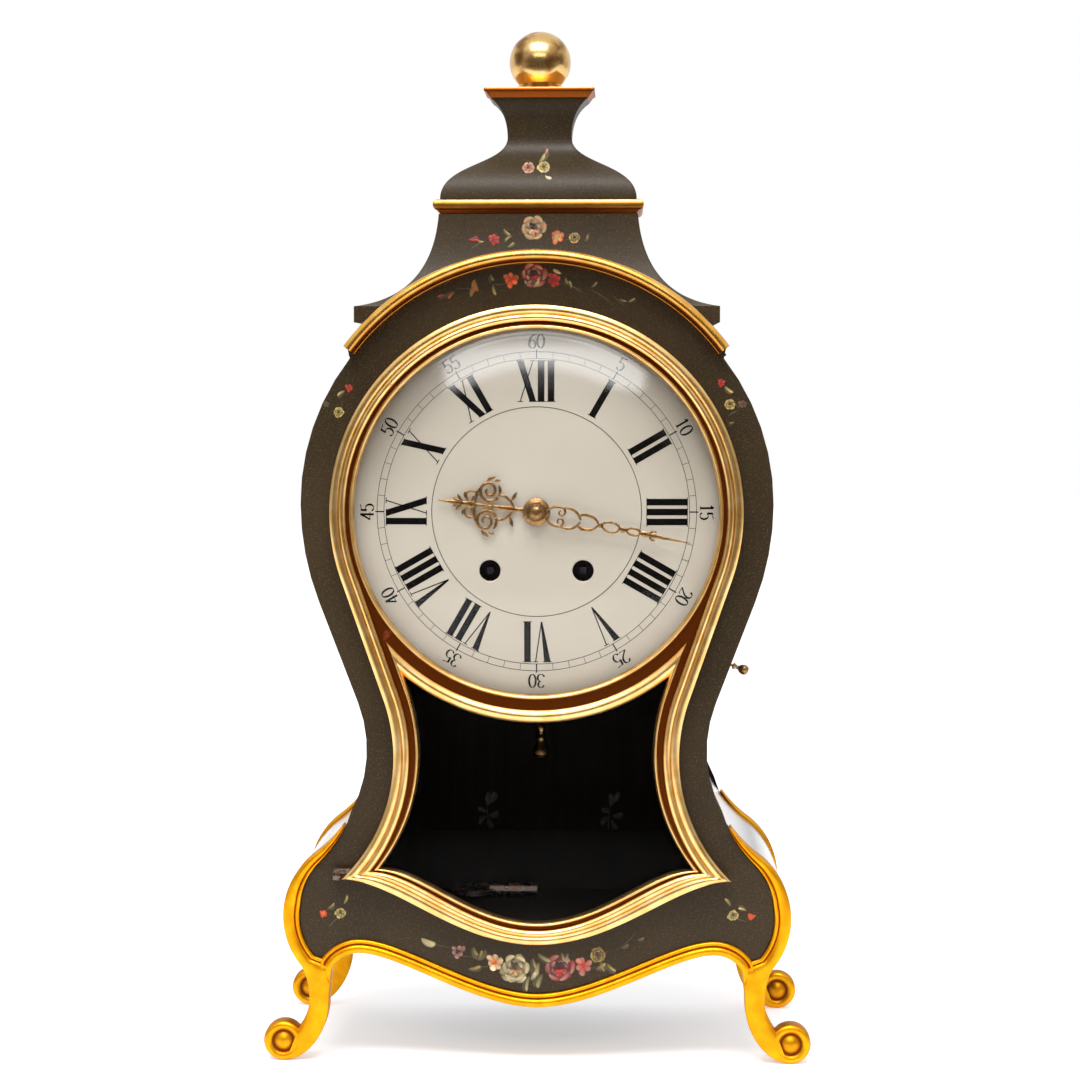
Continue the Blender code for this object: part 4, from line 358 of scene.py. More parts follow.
# Back frame, back door, bottom board and seat board: plain softwood, planed and stained dark.
# They are nailed and glued between the lacquered boards, and the inside is left unpainted.
stained, inputs, place = finish("stained_softwood")
along_grain = stretched(place, (1, 1, 0.06))
figure = grain(along_grain, 260, 5)
fibre = grain(along_grain, 1900, 3)
wood = mixed(rising(figure, 0.35, 0.68), shade(26, 19, 14), shade(15, 11, 8))
wood = mixed(rising(fibre, 0.5, 0.75) * 0.5, wood, shade(36, 26, 19))
feed(inputs["Base Color"], wood)
feed(inputs["Roughness"], 0.62 + 0.18 * fibre)
feed(inputs["Normal"], dented(figure, 0.00006))
inputs["Specular IOR Level"].default_value = 0.15
dressed(stained, "back_frame", "back_door_panel", "bottom_board", "seat_board")


def rails(outer, inner, front, back):
    """A flat mitred strip between two bent lines of corners, from one depth to another."""
    loop = np.stack([outer, inner, inner, outer], axis=1) * MM
    return skin(at_depth(loop, [front, front, back, back]), (False, True))


def opening(inset):
    """Corners round the back opening in millimetres, moved in by an inset, with a gap beside the latch."""
    wide, low, high = 78 - inset, 89 + inset, 351 - inset
    return np.array([(wide, 196), (wide, low), (-wide, low), (-wide, high), (wide, high), (wide, 236)])


frame_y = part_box("back_frame")[0].y
edge_y, stop_y = frame_y - 2.4 * MM, frame_y - 3.9 * MM
rebate = piece("back_frame_rebate", [rails(opening(0), opening(5.5), edge_y, frame_y),
                                     rails(opening(0), opening(11), stop_y, edge_y)], stained)
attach(rebate, "case")

# Scroll feet: carved limewood, gessoed, coated with red bole and water gilt.
# Each runs up the knee as a band with a raised lip, and ends below in a volute with a round eye.


def gilding(name, deep, pale, bole_and_shade_tone, rough, metal):
    """Gold leaf over red bole: rubbed places show the bole, and the tint attribute paints shade into grooves
    in a red-brown that partly stands for bole.
    """
    made, inputs, place = finish(name, 1.0)
    groove_shade = place.node("ShaderNodeAttribute", {"attribute_name": "tint"}, {}, "Fac")
    leaf = grain(place, 130, 3)
    bole = rising(grain(place, 60, 5), 0.7, 0.78)
    # Painted shade: where the tint is high, in grooves and at the feet of beads, the gold turns dark
    # red-brown; part of this is bole showing through.
    sunk_shade = rising(groove_shade, 0.2, 0.95)
    gold = mixed(rising(leaf, 0.3, 0.75), deep, pale)
    gold = mixed(sunk_shade, gold, bole_and_shade_tone)
    feed(inputs["Base Color"], mixed(bole * 0.6, gold, shade(176, 78, 38)))
    feed(inputs["Metallic"], metal - 0.4 * bole)
    feed(inputs["Roughness"], rough + 0.08 * leaf + 0.2 * bole + 0.2 * sunk_shade)
    feed(inputs["Normal"], dented(grain(place, 300, 2), 0.00003))
    return made


foot_gilt = gilding("foot_gilding", shade(236, 156, 8), shade(250, 180, 16), shade(120, 54, 10), 0.34, 0.9)


def bow(start, handle_a, handle_b, end, steps):
    """Points on a cubic curve: its ends and its two handles, each times its cubic share."""
    t = np.linspace(0, 1, steps + 1)[:, None]
    knots = [np.asarray(knot, float) for knot in (start, handle_a, handle_b, end)]
    shares = [(1 - t) ** 3, 3 * t * (1 - t) ** 2, 3 * t ** 2 * (1 - t), t ** 3]
    return sum(share * knot for share, knot in zip(shares, knots))


def evenly(line, count):
    """The same line with points at even distances along it."""
    steps = np.hypot(*np.diff(line, axis=0).T)
    reach = np.concatenate([[0], np.cumsum(steps)])
    wanted = np.linspace(0, reach[-1], count)
    return np.column_stack([np.interp(wanted, reach, line[:, 0]), np.interp(wanted, reach, line[:, 1])])


def between(outer, inner, section, front, back, carved=False):
    """A carved strip between two edges; its section holds the share across, the height and the tint that
    darkens grooves with painted shade and bole.

    Point = outer edge + share x (inner edge - outer edge), at the depth front - height.
    The back is flat, or carved like the front.
    """
    share, height, tint = np.array(section).T
    if carved:
        rear = share[::-1], back + height[::-1], tint[::-1]
    else:
        rear = np.array([1.0, 0.0]), np.full(2, back), np.zeros(2)
    share, depth, tint = (np.concatenate(pair) for pair in zip((share, front - height, tint), rear))
    flat = outer[:, None] + share[None, :, None] * (inner - outer)[:, None]
    return skin(at_depth(flat, depth), (False, True), tint[None, :, None])


def dome(start, end, height, base=0.0, steps=9, painted_shade=0.0):
    """Section of a half-round bead between two shares: rows of share, height and tint.

    Height = base + height x sine over half a turn; the tint, a painted shade, is darker at the feet and
    darker all over by the last argument.
    """
    turn = np.linspace(0, np.pi, steps)
    middle, half = (start + end) / 2, (end - start) / 2
    return [(middle - half * np.cos(a), base + height * np.sin(a), painted_shade + 0.55 * (1 - np.sin(a)))
            for a in turn]


def spun(profile, centre, axis, steps=96):
    """A lathe shape: radius and height of the profile turned round an axis, y for dials, z for finials."""
    radius, height, *tint = np.array(profile, float).T
    turn = np.linspace(0, 2 * np.pi, steps, endpoint=False)
    flat_a, flat_b = radius[:, None] * np.cos(turn), radius[:, None] * np.sin(turn)
    rise = np.broadcast_to(height[:, None], flat_a.shape)
    order = (flat_a, rise, flat_b) if axis == "y" else (flat_a, flat_b, rise)
    tint = tint[0][:, None, None] if tint else 0.0
    return skin(np.stack(order, axis=-1) + np.asarray(centre), (False, True), tint)


neck = np.array([knee_half - 13.3 * MM, knee_z - 43.2 * MM])
neck_in = neck - (10 * MM, 0)
foot_top = np.array([knee_half - 24.6 * MM, knee_z - 27.1 * MM])
foot_corner = foot_top + (3.3 * MM, 4.9 * MM)
volute_radius = 10.2 * MM
volute = np.array([knee_half + 0.1 * MM, volute_radius - 0.3 * MM])
tail_deg = 180 + np.degrees(np.arcsin((waist_z - knee_z - 46.8 * MM) / waist_radius))
shin_deg, join_deg = -40, 140
waist_steps, knee_points, widening_points = 16, 37, 32
band_tip, band_growth = 1.6 * MM, 6.8 * MM


def calf_line(steps):
    """Inner edge of a right leg from its top down to the neck: one cubic curve."""
    calf = foot_top[1] - neck[1]
    return bow(foot_top, foot_top - (0, 0.3 * calf), neck_in + (0, 0.37 * calf), neck_in, steps)


def foot_edges():
    """Outer and inner edge of a right foot, then those of its lip, from the band's tip down to the volute.

    The band follows the arc of the waist and then that of the knee, and grows wider over its first points.
    """
    count = np.arange(waist_steps + knee_points)
    on_waist = count < waist_steps
    waist_turn = np.linspace(tail_deg, 180 + knee_deg, waist_steps + 1)[:-1]
    knee_turn = np.linspace(knee_deg, shin_deg, knee_points)
    way = np.radians(np.concatenate([waist_turn, knee_turn]))
    width = band_tip + band_growth * np.minimum(1, count / widening_points)
    unit = np.column_stack([np.cos(way), np.sin(way)])
    middle = np.where(on_waist[:, None], (waist_x, waist_z), (knee_x, knee_z))
    outer = middle + unit * np.where(on_waist, waist_radius, knee_radius)[:, None]
    inner = middle + unit * np.where(on_waist, waist_radius + width, knee_radius - width)[:, None]
    lip = outer + 0.7 * (inner - outer)
    lip_end = foot_corner + (1.7 * MM, -2.2 * MM)
    join = arc(volute, volute_radius, join_deg, join_deg, 1)[0]
    shin, ankle = outer[-1, 1] - neck[1], neck[1] - join[1]
    leg_out = np.concatenate([
        bow(outer[-1], outer[-1] - (0.17 * shin, 0.34 * shin), neck + (0, 0.4 * shin), neck, 16),
        bow(neck, neck - (0, 0.4 * ankle), join + (-0.13 * ankle, 0.2 * ankle), join, 16)[1:]])
    sole = volute - (1.5 * MM, volute[1])
    heel = bow(neck_in, (neck_in[0], 0.42 * neck[1]), sole - (0.9 * volute_radius, 0), sole, 20)
    leg_in = np.concatenate([lip[-1:], lip_end[None], calf_line(10), heel[1:]])
    whole_out = np.concatenate([outer, evenly(leg_out, 48)[1:]])
    whole_in = np.concatenate([lip, evenly(leg_in, 48)[1:]])
    return whole_out, whole_in, np.vstack([lip, lip_end]), np.vstack([inner, foot_corner])


band_out, band_in, lip_out, lip_in = foot_edges()
# The tints paint shade: the band darkens towards its edges, the lip in its groove beside the board, the
# volute in its hollow rings.
band_section = dome(0, 1, 1.5 * MM, 0.3 * MM, 15)
lip_section = [(0, 0.1 * MM, 1.0)] + dome(0.12, 1, 1.3 * MM, 0.2 * MM, 7)
volute_rows = [(0, 3.0, 0.5), (1.6, 2.8, 0.4), (3.0, 2.2, 0.45), (4.2, 1.2, 0.6), (4.9, 0.5, 0.9),
               (5.6, 0.5, 0.9), (6.4, 1.2, 0.4), (7.6, 1.9, 0.15), (8.8, 1.6, 0.2), (9.8, 0.8, 0.45),
               (10.2, -0.6, 0.6)]
volute_profile = [(radius * MM, height * MM, tint) for radius, height, tint in volute_rows]
foot_proud, foot_inset = 0.4 * MM, 2 * MM


def foot(name, sign, front, back):
    """A foot between two depths: band and leg in one strip, the lip along the board and the volute."""
    scale = np.array([sign, 1])
    disc = [(radius, front - height, tint) for radius, height, tint in volute_profile]
    disc += [(radius, back + height, tint) for radius, height, tint in volute_profile[::-1]]
    skins = [between(band_out * scale, band_in * scale, band_section, front, back, True),
             between(lip_out * scale, lip_in * scale, lip_section, front, back),
             spun(disc, (sign * volute[0], 0, volute[1]), "y", 48)]
    made = piece(name, skins, foot_gilt, 50)
    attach(made, "case")
    return made


for hand, sign in (("left", -1), ("right", 1)):
    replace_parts(foot("scroll_front_" + hand, sign, front_y - foot_proud, board_back_y - foot_inset),
                "foot_front_" + hand)
    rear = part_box("foot_rear_" + hand)
    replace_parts(foot("scroll_rear_" + hand, sign, rear[0].y + foot_inset, rear[1].y - foot_inset),
                "foot_rear_" + hand)

# Apron moulding: a planted limewood strip under the front board, two beads with a quirk between.
# It is sprung round the lower edge, dies out on the inner edges of the feet and is gilt with them.
arch_top = np.array([knee_half - 38.8 * MM, knee_z - 18.7 * MM])
apron_low_z = knee_z - 46.2 * MM
apron_points, apron_wide, apron_tip, apron_taper = 121, 7 * MM, 0.12, 9 * MM


def leftward(line):
    """Unit normals to the left of a line: its direction turned by a quarter."""
    way = np.gradient(line, axis=0)
    way /= np.maximum(np.hypot(*way.T), 1e-9)[:, None]
    return np.column_stack([-way[:, 1], way[:, 0]])


across, up = foot_top[0] - arch_top[0], arch_top[1] - foot_top[1]
half = np.concatenate([
    calf_line(20)[9:0:-1],
    bow(foot_top, (foot_top[0] - 0.18 * across, arch_top[1] - 0.42 * up),
        arch_top + (0.42 * across, 0), arch_top, 16),
    bow(arch_top, (arch_top[0] * 0.78, arch_top[1]),
        (arch_top[0] * 0.35, apron_low_z), (0, apron_low_z), 44)[1:]])
half = evenly(half, apron_points)
ease = np.array([1, 2, 3, 2, 1]) / 9
padded = np.vstack([half[:1], half[:1], half, half[-1:], half[-1:]])
half[1:-1] = np.column_stack([np.convolve(padded[:, i], ease, "valid") for i in (0, 1)])[1:-1]
apron = np.concatenate([half * (-1, 1), half[-2::-1]])
reach = np.linspace(0, 1, apron_points) * np.hypot(*np.diff(half, axis=0).T).sum()
apron_width = apron_wide * np.minimum(1, apron_tip + reach / apron_taper)
apron_width = np.concatenate([apron_width, apron_width[-2::-1]])[:, None]
# The tint paints shade in the quirk between the beads and towards their feet.
apron_section = dome(0, 0.6, 1.5 * MM, 0.3 * MM) + [(0.65, 0.1 * MM, 1.0)]
apron_section += dome(0.7, 1, 1.4 * MM, 0.2 * MM, 7)
apron_top = apron + apron_width * leftward(apron)
strip = between(apron, apron_top, apron_section, front_y - foot_proud, board_back_y)
apron_piece = piece("apron_beads", [strip], foot_gilt, 50)
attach(apron_piece, "case")
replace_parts(apron_piece, "apron_moulding")

# Arch moulding: a bent and gilt hood over the dial, a bold bead above a thin lip; its lower half and the lip
# carry a painted brown shade.
# It is glued and pinned to the face of the front board.
gilt = gilding("moulding_gilding", shade(232, 168, 72), shade(248, 194, 98), shade(132, 66, 22), 0.22, 1.0)
low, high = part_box("arch_moulding")
bold_bead = dome(0, 0.8, 3.4 * MM, 1.0 * MM, 17)
# The tint rises over the lower half of the bold bead and is 0.6 on the lip: painted shade where they face
# down.
arch_section = [(share, height, max(0.3 * tint, 2.2 * (share - 0.36))) for share, height, tint in bold_bead]
arch_section += [(0.83, 0.9 * MM, 0.8)] + dome(0.85, 1, 0.7 * MM, 0.8 * MM, 5, 0.6)
arch_start, arch_end, arch_wide, arch_proud = 37, 143, 7 * MM, 4.4 * MM
turn_out = arc((0, arch_z), arch_radius, arch_start, arch_end, 120)
turn_in = arc((0, arch_z), arch_radius - arch_wide, arch_start, arch_end, 120)
hood = piece("arch_beads", [between(turn_out, turn_in, arch_section, low.y + arch_proud, high.y)], gilt, 50)
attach(hood, "case")
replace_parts(hood, "arch_moulding")

# Crown: a hollow-sided base that sits astride the roof, a gilt band, an ogee bell roof and a gilt cap.
# The base and the bell are lacquered boxes of four shaped faces; the band and cap are mitred mouldings.
middle_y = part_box("crown_base")[0].y / 2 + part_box("crown_base")[1].y / 2
depth_ratio = 0.668


def four_sided(profile, corner):
    """A square-plan shape: each row of the profile, half width and height, runs once round a plan.

    Point = side x (half width - corner) + corner x normal: the corners are eased by a quarter circle,
    and the depth is shortened by one ratio.
    """
    half, height = np.array(profile, float).T
    along = np.linspace(-1, 1, 33)
    ease = np.radians([22.5, 45, 67.5])
    side_x = np.ones(len(along) + len(ease))
    side_y = np.concatenate([along, np.ones(len(ease))])
    normal_x = np.concatenate([np.ones(len(along)), np.cos(ease)])
    normal_y = np.concatenate([np.zeros(len(along)), np.sin(ease)])
    turns = [(1, 0), (0, 1), (-1, 0), (0, -1)]
    plan_x = np.concatenate([c * side_x - s * side_y for c, s in turns])
    plan_y = np.concatenate([s * side_x + c * side_y for c, s in turns])
    out_x = np.concatenate([c * normal_x - s * normal_y for c, s in turns])
    out_y = np.concatenate([s * normal_x + c * normal_y for c, s in turns])
    ease_by = np.minimum(corner, half * 0.5)[:, None]
    x = plan_x * (half[:, None] - ease_by) + ease_by * out_x
    y = plan_y * (half[:, None] * depth_ratio - ease_by) + ease_by * out_y + middle_y
    return np.stack([x, y, np.broadcast_to(height[:, None], x.shape)], axis=-1)


low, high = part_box("crown_base")
shoulder_half, top_half = high.x, 51 * MM
shoulder_z = low.z + 8.1 * MM
tall, spread_by = high.z - shoulder_z, shoulder_half - top_half
base_edge = bow((top_half, high.z), (top_half + 0.05 * spread_by, high.z - 0.54 * tall),
                (top_half + 0.34 * spread_by, shoulder_z + 0.08 * tall), (shoulder_half, shoulder_z), 40)
base_foot = [(shoulder_half, shoulder_z - 2 * MM), (shoulder_half, low.z), (0, low.z)]
rows = np.concatenate([[(0, high.z)], base_edge, base_foot])
base_grid = four_sided(rows, 1.0 * MM)
roof_line = arch_z + np.sqrt(np.maximum((roof_radius + 0.3 * MM) ** 2 - base_grid[..., 0] ** 2, 0))
base_grid[..., 2] = np.maximum(base_grid[..., 2], np.minimum(roof_line, high.z))
crown_base = piece("crown_base_box", [skin(base_grid, (False, True))], lacquer)
low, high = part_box("crown_bell")
neck_half, bell_half, bell_top, neck_rise = 16.6 * MM, high.x, 25.1 * MM, 33 * MM
neck_z = low.z + neck_rise
above = high.z - neck_z
bell_edge = np.concatenate([
    bow((bell_top, high.z), (neck_half * 1.09, high.z - 0.26 * above),
        (neck_half, neck_z + 0.3 * above), (neck_half, neck_z), 24),
    bow((neck_half, neck_z), (neck_half, neck_z - 0.42 * neck_rise),
        (bell_half, low.z + 0.55 * neck_rise), (bell_half, low.z), 44)[1:]])
rows = np.concatenate([[(0, high.z)], bell_edge, [(0, low.z)]])
crown_bell = piece("crown_bell_roof", [skin(four_sided(rows, 0.8 * MM), (False, True))], lacquer)
low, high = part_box("crown_moulding")
tall, wide, nose_out = high.z - low.z, high.x, 2.2 * MM
nose = oval((wide - nose_out, low.z + 0.62 * tall), nose_out, 0.38 * tall, np.linspace(90, -90, 13))
band_foot = [(wide - 2.6 * MM, low.z + 0.16 * tall), (wide - 3.4 * MM, low.z), (0, low.z)]
rows = np.concatenate([[(0, high.z)], nose, band_foot])
# Painted shade: the band darkens from its nose down to its foot.
painted_shade = np.interp(rows[:, 1], [low.z, low.z + 0.55 * tall, high.z], [1.0, 0.62, 0.1])[:, None, None]
crown_band = piece("crown_band", [skin(four_sided(rows, 0.5 * MM), (False, True), painted_shade)], gilt)
low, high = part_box("crown_cap")
wide = high.x
rows = np.array([(0, high.z), (wide - 0.8 * MM, high.z), (wide, high.z - 0.8 * MM), (wide, high.z - 1.6 * MM),
                 (wide - 1.2 * MM, high.z - 2.3 * MM), (wide - 3.2 * MM, low.z), (0, low.z)])
# Painted shade: the cap is darkened all over, most along its edge.
painted_shade = np.array([0.5, 0.5, 0.85, 1.0, 0.85, 0.85, 0])[:, None, None]
crown_cap = piece("crown_cap_board", [skin(four_sided(rows, 0.5 * MM), (False, True), painted_shade)], gilt)
for made, node, slot in ((crown_base, "crown_base", "lacquer"), (crown_bell, "crown_bell", "lacquer"),
                         (crown_band, "crown_moulding", "gilt"), (crown_cap, "crown_cap", "gilt")):
    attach(made, "case")
    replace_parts(made, node)

# Finial: a turned wooden ball on a low collar, gilt and burnished bright.
# A dowel under the collar holds it in the cap.
burnished, inputs, place = finish("burnished_gilding", 1.0)
wear = rising(grain(place, 70, 6), 0.52, 0.72)
feed(inputs["Base Color"], mixed(wear, shade(228, 188, 122), shade(138, 96, 50)))
feed(inputs["Roughness"], 0.15 + 0.1 * grain(place, 200, 3) + 0.15 * wear)
feed(inputs["Normal"], dented(grain(place, 90, 2), 0.00004))
low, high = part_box("finial_ball")
ball_radius, collar_radius = high.x, 11 * MM
ball_z = high.z - ball_radius
collar_deg = np.degrees(np.arccos(collar_radius / ball_radius))
ball = arc((0, ball_z), ball_radius, 90, -collar_deg, 39)
collar_edge = collar_radius + 0.8 * MM
collar = [(collar_radius, low.z + 2.2 * MM), (collar_edge, low.z + 1.5 * MM),
          (collar_edge, low.z), (0, low.z)]
finial = piece("finial_turned", [spun(np.concatenate([ball, collar]), (0, middle_y, 0), "z")], burnished)
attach(finial, "case")
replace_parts(finial, "finial_ball")

# Door frame: a mitred, gilt moulding round the whole door and beads round the dial and the lower glass.
# Between the beads lies a hollow, dark red-brown: partly the red bole showing, partly painted shade.
dial_z = case_z - 3.8 * MM
door_radius, door_waist = 103.8 * MM, 72 * MM
frame_width, dial_opening = 13.5 * MM, 91.7 * MM
window_radius = dial_opening + 14.7 * MM
door_waist_z = dial_z - 123.5 * MM
door_corner = np.array([door_radius - 5.4 * MM, dial_z - 186.2 * MM])
door_low_z = dial_z - 219.1 * MM
flare = door_corner[0] - door_waist
door_bend = ((door_waist_z - door_corner[1]) ** 2 + flare ** 2) / (2 * flare)
bend_x = door_waist + door_bend
door_flank = crossing((0, dial_z), door_radius, (bend_x, door_waist_z), door_bend)


def door_lower(offset, pinch=0):
    """Waist and ogee foot of the door for a column of offsets into the frame: an arc, then a cubic curve.

    The arc's offset shrinks with the square of its length, by the pinch at the corner.
    """
    corner_z = door_corner[1] + 0.53 * (offset - pinch)
    corner_x = bend_x - np.sqrt((door_bend + offset - pinch) ** 2 - (corner_z - door_waist_z) ** 2)
    low_deg = 360 + np.degrees(np.arctan2(corner_z - door_waist_z, corner_x - bend_x))
    radius = door_bend + offset - pinch * np.linspace(0, 1, 49) ** 2
    waist = arc((bend_x, door_waist_z), radius, 180 + door_flank, low_deg, 48)
    bottom = door_low_z + 0.92 * offset - 0.4 * pinch
    ways = (1, corner_z), (0.72, corner_z), (0.42, bottom), (0, bottom)
    knots = [np.stack([share * corner_x, height], axis=-1) for share, height in ways]
    return np.concatenate([waist, bow(*knots, 40)[:, 1:]], axis=1)


def whole(half):
    """A closed outline from its right half, which runs from the top middle to the bottom middle."""
    return np.concatenate([half, half[:, -2:0:-1] * (-1, 1)], axis=1)


def door_line(offset):
    """Door outline for a column of offsets: round head, drawn-in waist and ogee foot."""
    head = arc((0, dial_z), door_radius - offset, 90, door_flank, 70)
    return whole(np.concatenate([head, door_lower(offset)], axis=1))


window_growth, window_pinch = 2.5, 2.3 * MM


def window_line(offset):
    """Outline of the lower glass for a column of offsets: an arch round the dial cuts the door outline."""
    top = window_radius + window_growth * (offset - frame_width)
    side = np.radians(door_flank)
    out, down = np.array([np.cos(side), np.sin(side)]), np.array([np.sin(side), -np.cos(side)])
    corner = out * (door_radius - offset) + down * np.sqrt(top ** 2 - (door_radius - offset) ** 2)
    head_deg = np.degrees(np.arctan2(corner[:, 1:], corner[:, :1]))
    head = arc((0, dial_z), top, -90, head_deg, 40)
    return whole(np.concatenate([head, door_lower(offset, window_pinch)], axis=1))


def framed(line, section):
    """A mitred moulding: each row of its section, offset, depth and tint, follows the outline there."""
    offset, depth, tint = np.array(section, float).T
    return skin(at_depth(line(offset[:, None]), depth[:, None]), (True, True), tint[:, None, None])


def bead(start, end, top, foot, steps=11):
    """Rows of a low bead between two offsets: a parabola from a foot depth to a top depth and back, with
    painted shade growing towards its feet.
    """
    middle, half = (start + end) / 2, (end - start) / 2
    return [(middle + half * u, top + (foot - top) * u ** 2, 0.3 * u ** 4)
            for u in np.linspace(-1, 1, steps)]


door_front, door_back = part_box("door_frame")[0].y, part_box("door_frame")[1].y
floor_y, cove_y = door_front + 4.4 * MM, door_front + 2.7 * MM
root_y, ring_back = floor_y + 2 * MM, door_back - 3.5 * MM
bead_end, second_end, quirk = 4.4 * MM, 7.9 * MM, 8.1 * MM
lip_start, lip_end, ring_edge = 10.7 * MM, 13.4 * MM, 94.7 * MM
# Tints paint shade, with the bole colour: full in the quirk and the hollow, 0.6 on the inner walls of the lip
# and the ring.
outer_rows = [(0, root_y, 0)] + bead(0, bead_end, door_front + 0.4 * MM, door_front + 1.4 * MM)
outer_rows += bead(bead_end, second_end, door_front, door_front + 1.2 * MM)
outer_rows += [(quirk, cove_y + 0.4 * MM, 1), (quirk, root_y, 1)]
lip_rows = [(lip_start, root_y, 1)]
lip_rows += bead(lip_start, lip_end, door_front + 0.9 * MM, door_front + 3.2 * MM, 13)
lip_rows += [(frame_width, root_y, 0.6)]
ring_bead = bead(2.9 * MM, 0.1 * MM, door_front + 1.0 * MM, door_front + 3.2 * MM)
ring_rows = [(ring_edge, root_y, 1)]
ring_rows += [(dial_opening + out, depth, tint) for out, depth, tint in ring_bead]
ring_rows += [(dial_opening, floor_y + 1.5 * MM, 0.6), (dial_opening, ring_back, 0.6),
              (ring_edge, ring_back, 0)]


def flat_plate(loops, front, back, tint):
    """A flat pierced board: outlines filled between two depths, the first its edge and the rest holes."""
    outline = bpy.data.curves.new("outline", "CURVE")
    outline.dimensions = "2D"
    outline.fill_mode = "BOTH"
    outline.extrude = abs(back - front) / 2
    for loop in loops:
        spline = outline.splines.new("POLY")
        spline.points.add(len(loop) - 1)
        corners = np.column_stack([loop, np.zeros(len(loop)), np.ones(len(loop))])
        spline.points.foreach_set("co", corners.ravel())
        spline.use_cyclic_u = True
    holder = bpy.data.objects.new("outline", outline)
    bpy.context.scene.collection.objects.link(holder)
    graph = bpy.context.evaluated_depsgraph_get()
    mesh = bpy.data.meshes.new_from_object(holder.evaluated_get(graph))
    bpy.data.objects.remove(holder)
    corners = np.empty(len(mesh.vertices) * 3)
    mesh.vertices.foreach_get("co", corners)
    corners = corners.reshape(-1, 3)
    mesh.calc_loop_triangles()
    faces = np.empty(len(mesh.loop_triangles) * 3, int)
    mesh.loop_triangles.foreach_get("vertices", faces)
    faces = faces.reshape(-1, 3)
    placed = np.column_stack([corners[:, 0], (front + back) / 2 - corners[:, 2], corners[:, 1]])
    return placed, np.column_stack([faces, np.full(len(faces), -1)]), np.full((len(placed), 4), tint)


door_gilt = gilding("door_gilding", shade(238, 188, 110), shade(250, 211, 145), shade(98, 46, 12), 0.25, 1.0)
# The flat ground of the hollow is tinted 0.95: dark red-brown, partly bole and partly painted shade.
ground_ring, ground_edge, ground_window = 93.2 * MM, 6 * MM, 12 * MM
ring_loop = arc((0, dial_z), ground_ring, 0, 360, 160)[:-1]
ground_loops = [door_line(np.array([[ground_edge]]))[0], ring_loop,
                window_line(np.array([[ground_window]]))[0]]
door_skins = [framed(door_line, outer_rows), framed(window_line, lip_rows),
              spun(ring_rows + ring_rows[:1], (0, 0, dial_z), "y", 200),
              flat_plate(ground_loops, cove_y, door_back, 0.95)]
door_frame = piece("door_frame_moulding", door_skins, door_gilt, 50)
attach(door_frame, "front_door")
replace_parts(door_frame, "door_frame")

# Door hinges and latch: forged iron pins on the case and iron eyes let into the front door's frame.
# The back door turns on steel pins and has a brass turn button. The front door lifts off its pins.
steel, inputs, place = finish("filed_steel", 1.0)
scratch = grain(stretched(place, (1, 0.1, 1)), 2600, 3)
rust = rising(grain(place, 240, 5), 0.6, 0.8)
feed(inputs["Base Color"], mixed(rust * 0.5, shade(150, 150, 152), shade(110, 92, 76)))
feed(inputs["Roughness"], 0.26 + 0.2 * scratch + 0.2 * rust)
feed(inputs["Normal"], dented(scratch, 0.00002))
brass, inputs, place = finish("grained_brass", 1.0)
brushed = grain(stretched(place, (1, 1, 0.12)), 1800, 3)
tarnish = rising(grain(place, 90, 5), 0.45, 0.8)
feed(inputs["Base Color"], mixed(tarnish, shade(196, 158, 84), shade(146, 106, 52)))
feed(inputs["Roughness"], 0.22 + 0.16 * brushed + 0.18 * tarnish)
feed(inputs["Normal"], dented(brushed, 0.00002))
iron, inputs, place = finish("aged_iron", 0.7)
pitted = rising(grain(place, 500, 4), 0.4, 0.7)
feed(inputs["Base Color"], mixed(pitted, shade(136, 116, 106), shade(54, 40, 34)))
feed(inputs["Roughness"], 0.4 + 0.25 * pitted)
feed(inputs["Normal"], dented(pitted, 0.0001))
dressed(iron, "door_hinge_pin_upper", "door_hinge_pin_lower", "door_hinge_eye_upper", "door_hinge_eye_lower")
dressed(steel, "back_door_pin_lower", "back_door_pin_upper")
dressed(brass, "back_door_latch")

# Glasses: a bulged round glass over the dial and a flat sheet below, both clear.
# They sit in a rebate behind the frame and are held by putty.


def glass(name, sheen, rim_sheen, centre_z, start, end):
    """Clear glass: transparent, with a share of mirror that grows with the angle, up to a limit.

    On a bulged glass the share also grows towards the rim, above the middle.
    """
    mirror_limit = 0.45
    made = bpy.data.materials.new(name)
    made.use_nodes = True
    tree = made.node_tree
    tree.nodes.remove(tree.nodes["Principled BSDF"])
    place = Wire(tree.nodes.new("ShaderNodeTexCoord").outputs["Object"])
    edge_light = place.node("ShaderNodeFresnel", {}, {"IOR": 1.42})
    through = place.node("ShaderNodeBsdfTransparent", {}, {"Color": (0.985, 0.99, 0.985, 1)})
    mirror = place.node("ShaderNodeBsdfAnisotropic", {}, {"Color": (1, 1, 1, 1), "Roughness": 0.08})
    height = place.node("ShaderNodeSeparateXYZ", {}, {0: place}, "Z")
    flat = stretched(place, (1, 0, 1))
    middle = (0, 0, centre_z)
    radius = place.node("ShaderNodeVectorMath", {"operation": "DISTANCE"}, {0: flat, 1: middle}, "Value")
    rim = rising(radius, start, end) * rising(height, centre_z, centre_z + 0.05)
    share = edge_light * (sheen + (rim_sheen - sheen) * rim) * (0.85 + 0.3 * grain(place, 40, 4))
    share = share.maths("MINIMUM", share, mirror_limit)
    pane = place.node("ShaderNodeMixShader", {}, {0: share, 1: through, 2: mirror})
    feed(tree.nodes["Material Output"].inputs["Surface"], pane)
    return made


